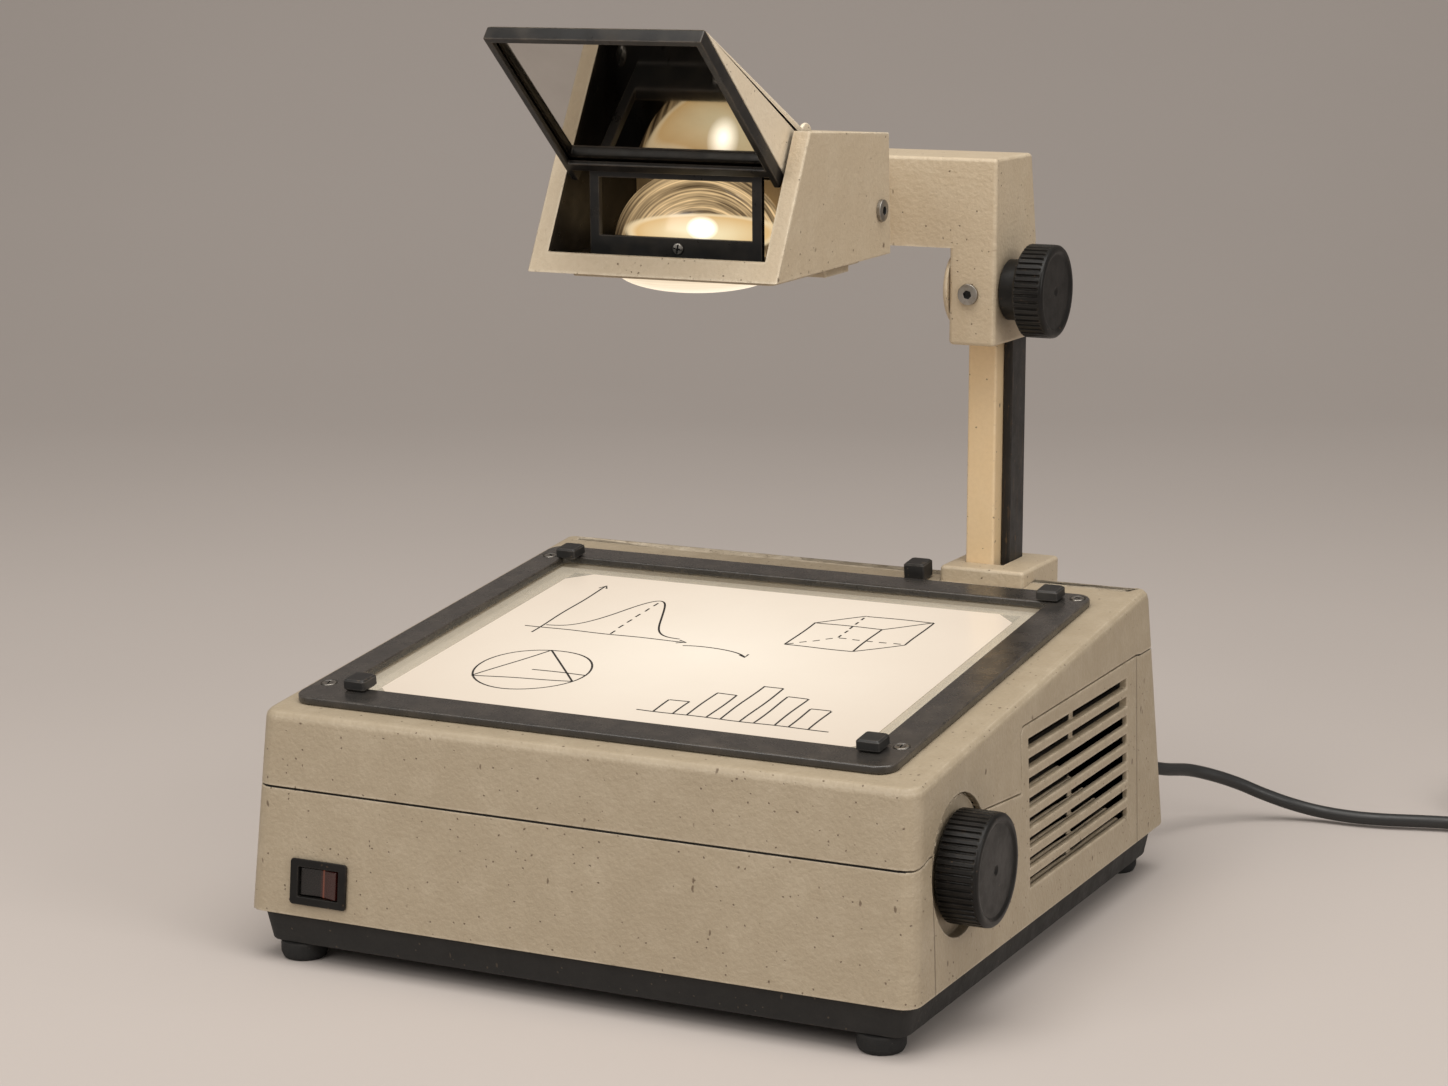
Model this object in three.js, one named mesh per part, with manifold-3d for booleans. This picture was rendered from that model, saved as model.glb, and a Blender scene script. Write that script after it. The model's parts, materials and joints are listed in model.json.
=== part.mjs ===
// Overhead projector: a lit stage on a wedge-shaped base, a column with a focusing arm and a mirror head.
// Millimetres, +Z up, front towards -Y. The pieces are drawn about the middle of the base, on its feet,
// and the finished group is then moved so that its bounding box stands centred on the origin.

import * as THREE from 'three';
import { mergeVertices } from 'three/addons/utils/BufferGeometryUtils.js';
import Module from 'manifold-3d';

const wasm = await Module();
wasm.setup();

const degree = Math.PI / 180;

// Clearances and tools that many pieces share
const seat = 0.3;             // gap between two faces that meet
const overrun = 6;            // how far a cutting body runs past the face that it cuts
const weldDistance = 0.001;   // corners closer than this are one corner

// A table whose name ends in From holds the distances of the next table's places from what they follow

// Base housing: two moulded shells on a black tray with four feet. Its deck slopes and its walls lean in
const housing = {
  width: 400, depth: 394.8, bottomZ: 28.7, deckFrontZ: 139.5, slope: 6.24 * degree,
  sideLean: 4, frontLean: 11.4, rearLean: 23.4,
  wall: 3.5, corner: 10, topEdge: 5, rearEdge: 18, flange: 12, flangeThickness: 3,
};
const sideX = housing.width / 2;
const rearY = housing.depth / 2;
const frontY = -rearY;
const deckTop = {
  halfWidth: sideX - housing.sideLean, frontY: frontY + housing.frontLean, rearY: rearY - housing.rearLean,
};
const deckLength = (deckTop.rearY - deckTop.frontY) / Math.cos(housing.slope);
const trayFrom = { halfWidth: 5.5, halfDepth: 4.7, bottomZ: 18.2 };
const tray = {
  halfWidth: sideX - trayFrom.halfWidth, halfDepth: rearY - trayFrom.halfDepth,
  bottomZ: housing.bottomZ - trayFrom.bottomZ, lean: 3, floor: 3, wall: 4, corner: 9,
};
const footFrom = { x: 20, y: 14 };
const foot = {
  radius: 13, tipRadius: 11.5, x: tray.halfWidth - footFrom.x, y: tray.halfDepth - footFrom.y,
};

// Stage, measured across the deck from its middle and up it from its front edge
const inset = (area, { left, right, front, rear }) => ({
  left: area.left + left, right: area.right - right, front: area.front + front, rear: area.rear - rear,
});
const deckArea = { left: -deckTop.halfWidth, right: deckTop.halfWidth, front: 0, rear: deckLength };
const frameMargin = { left: 11.5, right: 21, front: 15.3, rear: 43.5 };
const frameMember = { left: 18.5, right: 21.5, front: 23.2, rear: 20.6 };
const lightMargin = { left: 17, right: 11.5, front: 0.5, rear: 15 };
const filmMargin = { left: -1, right: -1, front: 2, rear: 2 };
const glassLap = { left: -6, right: -6, front: -6, rear: -6 };
const frame = inset(deckArea, frameMargin);
const frameOpening = inset(frame, frameMember);
const light = inset(frameOpening, lightMargin);
const film = inset(light, filmMargin);
const pane = inset(frameOpening, glassLap);
const frameEdge = { thickness: 4.5, corner: 10, openCorner: 6 };
const lightClip = 13;
const filmThickness = 0.3;
const glassThickness = 4;
const fresnelThickness = 2.5;
const well = { wall: 4, ledge: 4 };
const frameScrew = { headRadius: 4.2, headDepth: 2, shankRadius: 1.9, length: 8 };
// How far in from the frame's corners the screws and the stops stand
const screwInset = {
  front_left: [8.5, 25.7], rear_left: [8.5, 21.6], front_right: [7.5, 31.7], rear_right: [7.5, 8.6],
};
const stopInset = {
  front_left: [31, 22.8], front_right: [20, 23.7], rear_left: [22.5, 21], rear_right: [22, 14.6],
};
const fromCorner = (insets) => Object.fromEntries(Object.entries(insets).map(([corner, [x, v]]) => [corner, [
  corner.endsWith('left') ? frame.left + x : frame.right - x,
  corner.startsWith('front') ? frame.front + v : frame.rear - v,
]]));
const screwPlaces = fromCorner(screwInset);
const stop = { width: 13.5, depth: 14.5, height: 6.5, edge: 1, postHeight: 11 };
const stopPlaces = fromCorner(stopInset);

// Middle of the lit area
const opticX = (light.left + light.right) / 2;
const opticY = deckTop.frontY + ((light.front + light.rear) / 2) * Math.cos(housing.slope);

// Power switch in the front wall
const powerSwitchFrom = { z: 19.8, x: 47 };
const powerSwitch = {
  x: powerSwitchFrom.x - sideX, z: housing.bottomZ + powerSwitchFrom.z, flangeWidth: 36,
  flangeHeight: 25.5, flangeThickness: 1.6, flangeCorner: 2, bodyWidth: 32, bodyHeight: 21.5,
  bodyDepth: 16, mouthWidth: 25.6, mouthHeight: 16.6, floor: 2.5, rockerWidth: 24.4, rockerHeight: 15.6,
  rockerThickness: 5, rockerTilt: 6 * degree, pivotDepth: 5, ridge: 2.4,
};

// Lamp changer: a knob on the right side turns a pinion that slides the lamp sled front to back
const lampKnobFrom = {
  y: 64.4, z: 59.3, tipX: 19, recessX: 6.5, backingX: 10.5, shaftEndX: 29.5, pinionLeftX: 32.5,
  pinionRightX: 42.5,
};
const lampKnob = {
  y: frontY + lampKnobFrom.y, z: housing.bottomZ + lampKnobFrom.z, radius: 30,
  tipX: sideX + lampKnobFrom.tipX, recessRadius: 37, recessX: sideX - lampKnobFrom.recessX,
  backingX: sideX - lampKnobFrom.backingX, backingRadius: 39.5, clearance: 1.5, ribs: 48, ribDepth: 1,
  dish: 1.2, dishShare: 0.86, socketDepth: 14, shaftRadius: 3.7,
  shaftEndX: opticX + lampKnobFrom.shaftEndX, pinionRadius: 11,
  pinionLeftX: opticX + lampKnobFrom.pinionLeftX, pinionRightX: opticX + lampKnobFrom.pinionRightX,
};
const lampTravel = 44;
const trayFloorZ = tray.bottomZ + tray.floor;
const chassisFrom = {
  left: 71.5, right: 71.5, rear: 116, frontWallY: 93, rearWallY: 112, wallTop: 38.5, legTop: 86.5,
  bearingX: 49.5, bearingTop: 11,
};
const chassis = {
  plateThickness: 2.2, left: opticX - chassisFrom.left, right: opticX + chassisFrom.right,
  rear: opticY + chassisFrom.rear, frontWallY: opticY - chassisFrom.frontWallY,
  rearWallY: opticY + chassisFrom.rearWallY, wallThickness: 3,
  wallTop: trayFloorZ + chassisFrom.wallTop, legWidth: 5, legDepth: 20,
  legTop: trayFloorZ + chassisFrom.legTop, bearingX: opticX + chassisFrom.bearingX,
  bearingTop: lampKnob.z + chassisFrom.bearingTop, bearingDepth: 16, lip: 4,
};
const rodFrom = { leftX: 46.5, rightX: 48.5, z: 29.5, frontY: 98, rearY: 120 };
const rod = {
  radius: 3, leftX: opticX - rodFrom.leftX, rightX: opticX + rodFrom.rightX, z: trayFloorZ + rodFrom.z,
  frontY: opticY - rodFrom.frontY, rearY: opticY + rodFrom.rearY,
};
const sledFrom = { left: 54.5, right: 56.5, front: 70, rear: 21, bottom: 6 };
const sled = {
  left: opticX - sledFrom.left, right: opticX + sledFrom.right, front: opticY - sledFrom.front,
  rear: opticY + sledFrom.rear, bottom: rod.z - sledFrom.bottom, thickness: 12,
};
const rackFrom = { left: 33.5, right: 41.5, front: 52, postFront: 69, rear: 34 };
const rack = {
  left: opticX + rackFrom.left, right: opticX + rackFrom.right, front: lampKnob.y - rackFrom.front,
  postFront: opticY - rackFrom.postFront, rear: opticY - rackFrom.rear, thickness: 8.7,
};
const holder = { half: 11, height: 9 };
const lamp = { neckRadius: 8, neckHeight: 5, radius: 20, height: 17.4, wall: 2, bulbRadius: 5.5, bulbHeight: 22 };
const condenserFrom = { front: 36, rear: 36 };
const condenser = {
  radius: 33, rise: 12, rim: 2, plateThickness: 3, front: opticY - condenserFrom.front,
  rear: opticY + condenserFrom.rear, ledge: 3,
};

// Vents in both side walls: two columns of slots, with a rib set back between them
const ventFrom = { frontY: 100, rearY: 70.4, topZ: 7.5, padX: 10.5 };
const vent = {
  frontY: lampKnob.y + ventFrom.frontY, rearY: rearY - ventFrom.rearY,
  topZ: housing.deckFrontZ - ventFrom.topZ, spacing: 11.05, slot: 6, count: 8, ribShare: 0.475,
  ribHalf: 3, ribSetBack: 2.6, padX: sideX - ventFrom.padX, padMargin: 6,
};
const ventRibY = vent.frontY + (vent.rearY - vent.frontY) * vent.ribShare;

// Line where the shells part: low round the front, over the lamp knob, then over the vents
const seamHeight = 69.3;
const seamZ = housing.bottomZ + seamHeight;
const seamFrom = {
  sideZ: 3.5, turnY: 13, sillY: 10.5, sillZ: 6, panelZ: 4.5, roofFrontZ: 8, roofRearY: 17,
  roofRearZ: 9.7, stepY: 23, rearZ: 8.7,
};
const seam = {
  gap: 0.8, sideZ: seamZ + seamFrom.sideZ, turnY: deckTop.frontY + seamFrom.turnY,
  sillY: vent.frontY - seamFrom.sillY, sillZ: seamZ + seamFrom.sillZ,
  panelZ: vent.topZ + seamFrom.panelZ, panelEdge: 3.5, roofFrontZ: vent.topZ + seamFrom.roofFrontZ,
  roofRearY: vent.rearY + seamFrom.roofRearY, roofRearZ: vent.topZ + seamFrom.roofRearZ,
  stepY: vent.rearY + seamFrom.stepY, rearZ: vent.topZ + seamFrom.rearZ,
};

// Cooling fan behind the right-hand vents, and the transformer in the left rear corner
const fanFrom = { x: 38 };
const fan = {
  x: sideX - fanFrom.x, thickness: 25, y: (vent.frontY + vent.rearY) / 2, side: 92, boreRadius: 43,
  mountRadius: 17, mountThickness: 3, strut: 5, pinRadius: 2, hubRadius: 17, bladeRadius: 41, blades: 7,
  bladeThickness: 1.8, bladeWidth: 15, pitch: 35 * degree, clearance: 0.8,
};
const transformerFrom = { right: 10, front: 102.4, rear: 32.4, left: 40 };
const transformer = {
  left: transformerFrom.left - sideX, right: chassis.left - transformerFrom.right,
  front: rearY - transformerFrom.front, rear: rearY - transformerFrom.rear, coreHeight: 52, foot: 8,
  coilInset: 12, coilHeight: 69,
};

// Column, its bracket on the rear edge of the base, and the bar that the focusing roller climbs
const bracketFrom = { left: 129, right: 75, front: 52.4, rear: 8.6, bottom: 27.5, top: 45.5 };
const bracket = {
  left: sideX - bracketFrom.left, right: sideX - bracketFrom.right, front: rearY - bracketFrom.front,
  rear: rearY + bracketFrom.rear, bottom: housing.deckFrontZ - bracketFrom.bottom,
  top: housing.deckFrontZ + bracketFrom.top, edge: 3,
};
const bracketFloor = 6;
const bracketFloorZ = bracket.bottom + bracketFloor;
const columnFrom = { left: 10, right: 28, front: 35.4, rear: 9.4 };
const column = {
  left: bracket.left + columnFrom.left, right: bracket.left + columnFrom.right,
  front: rearY - columnFrom.front, rear: rearY - columnFrom.rear, top: 400, edge: 1.5,
};
const barFrom = { left: 0.5, right: 6, front: 11.5, rear: 7.7 };
const bar = {
  left: column.right + barFrom.left, right: column.right + barFrom.right,
  front: column.front + barFrom.front, rear: column.rear + barFrom.rear,
};

// Focusing arm: one moulding that slides on the column and reaches over the stage to the head
const headFrom = { x: 1.5, frontY: 59.5, frontZ: 23.1 };
const head = {
  x: opticX - headFrom.x, halfWidth: 75.7, frontY: opticY - headFrom.frontY,
  frontZ: column.top - headFrom.frontZ, wall: 3, rim: 10, lip: 12, topOpenHalf: 69, topBackU: 73.5,
  pitch: 1.01 * degree, lengthBottom: 152.6, topRearU: 150, topRearW: 68.8, topFrontU: 42.7,
  topFrontW: 77.4,
};
const armFrom = {
  left: 2.8, right: 2.6, front: 26, rear: 8.3, topRear: 1.7, bottom: 80, shoulder: 23, top: 30,
  boreTop: 11, reachLeft: 33, reachRight: 37,
};
const arm = {
  left: column.left - armFrom.left, right: bar.right + armFrom.right,
  front: column.front - armFrom.front, rear: bar.rear + armFrom.rear,
  topRear: bar.rear - armFrom.topRear, bottom: column.top - armFrom.bottom,
  shoulder: column.top - armFrom.shoulder, top: column.top + armFrom.top,
  boreTop: column.top + armFrom.boreTop, reachLeft: head.x - armFrom.reachLeft,
  reachRight: head.x + armFrom.reachRight, edge: 3,
};
const focusFrom = {
  y: 16.5, z: 48, shaftLeftX: 0.8, hubX: 0.6, knobX: 12.1, shaftRightX: 22.4, tipX: 31.1,
  rollerLeftX: 0.4, rollerRightX: 0.3,
};
const focus = {
  y: bar.front - focusFrom.y, z: column.top - focusFrom.z, shaftRadius: 3,
  shaftLeftX: arm.left + focusFrom.shaftLeftX, hubRadius: 18, hubX: arm.right + focusFrom.hubX,
  knobX: arm.right + focusFrom.knobX, shaftRightX: arm.right + focusFrom.shaftRightX,
  tipX: arm.right + focusFrom.tipX, radius: 27.5, ribs: 44, ribDepth: 1, dish: 1.1, dishShare: 0.84,
  rollerLeftX: bar.left + focusFrom.rollerLeftX, rollerRightX: bar.right - focusFrom.rollerRightX,
  capRadius: 23, capRise: 5, capRim: 1.2,
};
const screw = { headRadius: 6.3, headHeight: 2.8, socketRadius: 2.6, socketDepth: 1.8, shankRadius: 3 };
const clampScrewFrom = { x: 10, z: 1.7 };
const clampScrew = {
  x: column.left + clampScrewFrom.x, z: focus.z - clampScrewFrom.z,
};

// Head, drawn in its own frame: u runs back along its underside and w stands square to it
const lens = {
  x: -6, u: 71.5, radius: 50, ledge: 3, topRise: 46, frontReach: 35, bulge: 13, rim: 2.6,
};
const lensPlate = { left: -58.5, right: 64, front: 19.5, rear: 135.5, thickness: 3.4, floor: 0.7 };
const plateLug = { left: 51, right: 64, front: 87.9, rear: 119.3, height: 3.3 };
const lensTray = { thickness: 3, front: 8.5, rear: 145.2 };
const guard = { u: 30.5, depth: 3.5, half: 52.5, post: 6, sill: 12, top: 54, bar: 4 };
const block = { depth: 20, bottomW: 10, topW: 42, clearance: 2.5 };
const sideScrew = { u: 137.5, w: 26 };

// Mirror lid, drawn about its hinge pin
const lidFrom = { hingeU: 22.1, hingeW: 4.9 };
const lid = {
  halfWidth: 63.5, hingeU: head.topFrontU + lidFrom.hingeU, hingeW: head.topFrontW - lidFrom.hingeW,
  footY: -33.4, footZ: -25.6, tipY: -129.3, tipZ: 54.7, apexY: -2.4, apexZ: 3.7, skin: 2.5,
  earRadius: 7.5, pinRadius: 2.5, pinHalf: 74.3,
};
const mirror = {
  frameThickness: 8, member: 4, barFrom: 9, barTo: 15.5, lip: 1.8, glassThickness: 3, glassDepth: 3,
};

// Mains lead: strain relief, a free stretch, a coil with its tie, and the plug
const cord = { diameter: 8, sides: 8, steps: 34 };
const reliefFrom = { x: 35, z: 23.3, bossY: 0.6 };
const relief = {
  x: sideX - reliefFrom.x, z: housing.bottomZ + reliefFrom.z, bossRadius: 14,
  bossY: rearY - reliefFrom.bossY, flangeRadius: 11, flangeThickness: 3, neckRadius: 7, neckDepth: 9,
  length: 24, tipRadius: 5.2,
};
const coilFrom = { x: 227, y: 226.6 };
const coil = {
  x: relief.x + coilFrom.x, y: rearY + coilFrom.y, innerRadius: 32.5, spacing: 8.5, turns: 7.25,
  stepsPerTurn: 24, sides: 6, layerRise: 8.6, startAngle: -80 * degree, straight: 40,
};
const tie = { thickness: 1.5, width: 10, angle: 150 * degree };
const plug = {
  width: 30, length: 38, corner: 7, noseLength: 16, noseRadius: 6, bladeWidth: 6.4, bladeThickness: 1.6,
  bladeLength: 18, bladeSpread: 6.35, pinRadius: 2.4, pinLength: 21, pinDrop: 6,
};
// Places that the free stretch passes: right of the strain relief, behind the housing, above the floor
const cordRoute = [
  [3, 47.6, 48.5], [12, 64.6, 43], [21.5, 87.6, 38], [34, 102.6, 32], [46, 115.6, 25],
  [58.5, 124.6, 18], [74, 132.6, 11.5], [92, 137.6, 7.2], [113.5, 138.6, 5.9], [134, 141.6, 5.8],
  [154, 147.6, 5.8], [173, 152.6, 5.8], [193, 156.6, 5.8], [213, 159.9, 5.8],
];

// Shades
const shade = {
  beige: ['#b3a488', 0.62, 0], beigeWarm: ['#c3ad80', 0.6, 0], black: ['#2b2a29', 0.5, 0],
  charcoal: ['#3a3936', 0.42, 0], rubber: ['#1c1b1b', 0.85, 0], steel: ['#9a968f', 0.35, 0.9],
  glassTint: ['#cfd8d0', 0.08, 0], clear: ['#eef0ea', 0.05, 0], glow: ['#f5e7c8', 0.2, 0],
  mirror: ['#c9c6c0', 0.05, 1], ceramic: ['#d8d2c4', 0.7, 0], copper: ['#8a5a34', 0.5, 0.6],
  red: ['#5a1a14', 0.3, 0], film: ['#fbf3df', 0.25, 0],
};

// Shape helpers

function range(count) {
  return Array.from({ length: count }, (_, index) => index);
}

function box(x0, x1, y0, y1, z0, z1) {
  const geometry = new THREE.BoxGeometry(x1 - x0, y1 - y0, z1 - z0);
  return geometry.translate((x0 + x1) / 2, (y0 + y1) / 2, (z0 + z1) / 2);
}

function shapeOf(points, holes = []) {
  const shape = new THREE.Shape(points.map(([u, v]) => new THREE.Vector2(u, v)));
  shape.holes = holes.map((hole) => new THREE.Path(hole.map(([u, v]) => new THREE.Vector2(u, v))));
  return shape;
}

// A flat outline swept along one axis: along x its points are (y, z), along y (z, x), along z (x, y)
const sweepBasis = {
  x: new THREE.Matrix4().makeBasis(
    new THREE.Vector3(0, 1, 0), new THREE.Vector3(0, 0, 1), new THREE.Vector3(1, 0, 0)),
  y: new THREE.Matrix4().makeBasis(
    new THREE.Vector3(0, 0, 1), new THREE.Vector3(1, 0, 0), new THREE.Vector3(0, 1, 0)),
  z: new THREE.Matrix4(),
};

function prism(axis, points, from, to, holes = []) {
  const geometry = new THREE.ExtrudeGeometry(shapeOf(points, holes), { depth: to - from, bevelEnabled: false });
  return geometry.translate(0, 0, from).applyMatrix4(sweepBasis[axis]);
}

function circle(radius, sides, u = 0, v = 0) {
  return range(sides).map((k) => {
    const angle = (2 * Math.PI * k) / sides;
    return [u + radius * Math.cos(angle), v + radius * Math.sin(angle)];
  });
}

// A rectangle with its corners rounded in a few steps
function softRectangle(u0, u1, v0, v1, radius, steps = 4) {
  const centres = [[u1 - radius, v1 - radius], [u0 + radius, v1 - radius],
    [u0 + radius, v0 + radius], [u1 - radius, v0 + radius]];
  return centres.flatMap(([cu, cv], quarter) => range(steps + 1).map((k) => {
    const angle = (quarter + k / steps) * 90 * degree;
    return [cu + radius * Math.cos(angle), cv + radius * Math.sin(angle)];
  }));
}

function cylinder(axis, radius, from, to, u, v, sides = 24) {
  return prism(axis, circle(radius, sides, u, v), from, to);
}

// A turned body: profile points are (radius, height along the axis)
function turned(axis, profile, sides = 32) {
  const geometry = new THREE.LatheGeometry(profile.map(([r, h]) => new THREE.Vector2(r, h)), sides);
  if (axis === 'x') geometry.rotateZ(-90 * degree);
  if (axis === 'z') geometry.rotateX(90 * degree);
  return geometry;
}

// A closed body through rings with the same number of points, each ring flat at the two ends
function loft(rings) {
  const count = rings[0].length;
  const last = (rings.length - 1) * count;
  const faces = [];
  for (const ring of range(rings.length - 1)) {
    for (const k of range(count)) {
      const a = ring * count + k;
      const b = ring * count + ((k + 1) % count);
      faces.push(a, b, b + count, a, b + count, a + count);
    }
  }
  for (const k of range(count - 2)) {
    faces.push(0, k + 2, k + 1, last, last + k + 1, last + k + 2);
  }
  const geometry = new THREE.BufferGeometry();
  geometry.setAttribute('position', new THREE.Float32BufferAttribute(rings.flat(2), 3));
  geometry.setIndex(faces);
  geometry.computeVertexNormals();
  return geometry;
}

function solid(geometry) {
  const bare = geometry.clone();
  bare.deleteAttribute('normal');
  bare.deleteAttribute('uv');
  const merged = mergeVertices(bare, weldDistance);
  return new wasm.Manifold(new wasm.Mesh({
    numProp: 3,
    vertProperties: Float32Array.from(merged.attributes.position.array),
    triVerts: Uint32Array.from(merged.index.array),
  }));
}

function geometryOf(body) {
  const mesh = body.getMesh();
  const geometry = new THREE.BufferGeometry();
  geometry.setAttribute('position', new THREE.BufferAttribute(Float32Array.from(mesh.vertProperties), 3));
  geometry.setIndex(new THREE.BufferAttribute(Uint32Array.from(mesh.triVerts), 1));
  geometry.computeVertexNormals();
  return geometry;
}

function cut(body, ...tools) {
  return geometryOf(tools.reduce((rest, tool) => rest.subtract(solid(tool)), solid(body)));
}

function join(body, ...others) {
  return geometryOf(others.reduce((sum, other) => sum.add(solid(other)), solid(body)));
}

function common(body, other) {
  return geometryOf(solid(body).intersect(solid(other)));
}

// The group that holds every piece, and the sloping groups inside it
const model = new THREE.Group();

function piece(name, geometry, [colour, roughness, metalness], parent = model) {
  const material = new THREE.MeshStandardMaterial({ color: colour, roughness, metalness });
  const mesh = new THREE.Mesh(geometry, material);
  mesh.name = name;
  parent.add(mesh);
  return mesh;
}

function slopedGroup(x, y, z, angle) {
  const group = new THREE.Group();
  group.position.set(x, y, z);
  group.rotation.x = angle;
  group.updateMatrix();
  model.add(group);
  return group;
}

const deck = slopedGroup(0, deckTop.frontY, housing.deckFrontZ, housing.slope);
const onDeck = (geometry) => geometry.applyMatrix4(deck.matrix);
const deckZ = (y) => housing.deckFrontZ + (y - deckTop.frontY) * Math.tan(housing.slope);

// Base housing

// Plan outline of the housing: points with the direction that each faces
function housingOutline(halfWidth, front, rear, corner, steps = 4) {
  const corners = [[1, rear - corner], [-1, rear - corner], [-1, front + corner], [1, front + corner]];
  return corners.flatMap(([side, cy], quarter) => range(steps + 1).map((k) => {
    const angle = (quarter + k / steps) * 90 * degree;
    const out = [Math.cos(angle), Math.sin(angle)];
    return { x: side * (halfWidth - corner) + corner * out[0], y: cy + corner * out[1], out };
  }));
}

// The wedge, drawn in on every side, from lowZ up to the deck with its edges rounded over
function housingBody(inward, lowZ) {
  const corner = housing.corner - inward / 2;
  const low = housingOutline(sideX - inward, frontY + inward, rearY - inward, corner);
  const high = housingOutline(
    deckTop.halfWidth - inward, deckTop.frontY + inward, deckTop.rearY - inward, corner);
  const rings = [low.map(({ x, y }) => [x, y, lowZ])];
  for (const turn of [0, 30, 60, 90]) {
    rings.push(high.map(({ x, y, out }) => {
      const rearShare = Math.max(0, out[1]) ** 2;
      const radius = housing.topEdge + (housing.rearEdge - housing.topEdge) * rearShare - inward;
      const drawn = radius * (1 - Math.cos(turn * degree));
      const px = x - out[0] * drawn;
      const py = y - out[1] * drawn;
      return [px, py, deckZ(py) - inward - radius * (1 - Math.sin(turn * degree))];
    }));
  }
  return loft(rings);
}

// Where the shells part, seen from the side, front to rear; grow widens the lower shell's share
function seamLine(grow, humped) {
  const line = [[-housing.depth, seamZ + grow], [deckTop.frontY, seamZ + grow], [seam.turnY, seam.sideZ + grow]];
  if (humped) {
    const radius = lampKnob.recessRadius + grow;
    const start = Math.PI - Math.asin((seam.sideZ + grow - lampKnob.z) / radius);
    const end = Math.asin((seam.sideZ + seam.panelEdge * 2 + grow - lampKnob.z) / radius);
    for (const k of range(13)) {
      const angle = start + ((end - start) * k) / 12;
      line.push([lampKnob.y + radius * Math.cos(angle), lampKnob.z + radius * Math.sin(angle)]);
    }
  }
  const sill = seam.sillY - grow;
  line.push([sill, seam.sillZ + grow], [sill, seam.panelZ + grow], [sill + seam.panelEdge, seam.roofFrontZ + grow]);
  line.push([seam.roofRearY, seam.roofRearZ + grow], [seam.stepY, seam.rearZ + grow]);
  line.push([housing.depth, seam.rearZ + grow]);
  return line;
}

function belowSeam(grow) {
  const foundation = [[housing.depth, -housing.bottomZ], [-housing.depth, -housing.bottomZ]];
  const left = prism('x', [...seamLine(grow, false), ...foundation], -housing.width, 0);
  const right = prism('x', [...seamLine(grow, true), ...foundation], 0, housing.width);
  return join(left, right);
}

const sides = [-1, 1];

// A box from a given distance out from the middle, on the left or the right side
function sideBox(side, fromX, toX, y0, y1, z0, z1) {
  return box(Math.min(side * fromX, side * toX), Math.max(side * fromX, side * toX), y0, y1, z0, z1);
}

// The side walls are thicker round the vents
const ventBottomZ = vent.topZ - (vent.count - 1) * vent.spacing - vent.slot;
function ventPads() {
  return sides.map((side) => sideBox(side, vent.padX, deckTop.halfWidth - housing.wall / 2,
    vent.frontY - vent.padMargin, vent.rearY + vent.padMargin, ventBottomZ - vent.padMargin,
    vent.topZ + vent.padMargin / 2));
}

function ventCuts() {
  const deep = vent.padX - overrun;
  const skin = deckTop.halfWidth - vent.ribSetBack;
  return sides.flatMap((side) => range(vent.count).flatMap((k) => {
    const top = vent.topZ - k * vent.spacing;
    const low = top - vent.slot;
    return [
      sideBox(side, deep, housing.width, vent.frontY, ventRibY - vent.ribHalf, low, top),
      sideBox(side, deep, housing.width, ventRibY + vent.ribHalf, vent.rearY, low, top),
      sideBox(side, skin, housing.width, ventRibY - housing.wall, ventRibY + housing.wall, low, top),
    ];
  }));
}

const frontLean = Math.atan2(housing.frontLean, housing.deckFrontZ - housing.bottomZ);
const frontWallY = (z) => frontY + (z - housing.bottomZ) * Math.tan(frontLean);
const switchPanel = slopedGroup(powerSwitch.x, frontWallY(powerSwitch.z), powerSwitch.z, -frontLean);

const bracketNotch = box(
  bracket.left - seat, bracket.right + seat, bracket.front - seat, bracket.rear + overrun,
  bracket.bottom - seat, bracket.top + overrun);
const hollow = housingBody(housing.wall, housing.bottomZ + housing.flangeThickness);
const hollowShell = cut(housingBody(0, housing.bottomZ), hollow);

function lowerShell() {
  const mouth = housingOutline(
    sideX - housing.flange, frontY + housing.flange, rearY - housing.flange, housing.corner);
  const mouthBody = loft([-overrun, housing.flangeThickness + overrun].map(
    (rise) => mouth.map(({ x, y }) => [x, y, housing.bottomZ + rise])));
  const knobBacking = cylinder(
    'x', lampKnob.backingRadius, lampKnob.backingX, deckTop.halfWidth, lampKnob.y, lampKnob.z, 40);
  const cordBoss = common(
    cylinder('y', relief.bossRadius, relief.bossY - relief.neckDepth, relief.bossY, relief.z, relief.x),
    box(0, housing.width, 0, housing.depth, 0, housing.deckFrontZ));
  const switchHole = box(
    -powerSwitch.bodyWidth / 2 - seat, powerSwitch.bodyWidth / 2 + seat, -overrun, housing.wall + overrun,
    -powerSwitch.bodyHeight / 2 - seat, powerSwitch.bodyHeight / 2 + seat).applyMatrix4(switchPanel.matrix);
  return cut(
    common(join(cut(hollowShell, mouthBody), knobBacking, cordBoss, ...ventPads()), belowSeam(0)),
    cylinder('x', lampKnob.recessRadius, lampKnob.recessX, housing.width, lampKnob.y, lampKnob.z, 40),
    cylinder('x', lampKnob.shaftRadius + seat, lampKnob.shaftEndX, housing.width, lampKnob.y, lampKnob.z),
    cylinder('y', relief.neckRadius + seat, relief.bossY - relief.neckDepth - overrun, housing.depth,
      relief.z, relief.x),
    switchHole, bracketNotch, ...ventCuts());
}

const pocketDepth = fresnelThickness + glassThickness + 3 * seat;
function lightOutline() {
  const { left, right, front, rear } = light;
  const clip = lightClip;
  return [
    [left + clip, front], [right - clip, front], [right, front + clip], [right, rear - clip],
    [right - clip, rear], [left + clip, rear], [left, rear - clip], [left, front + clip],
  ];
}

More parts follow.
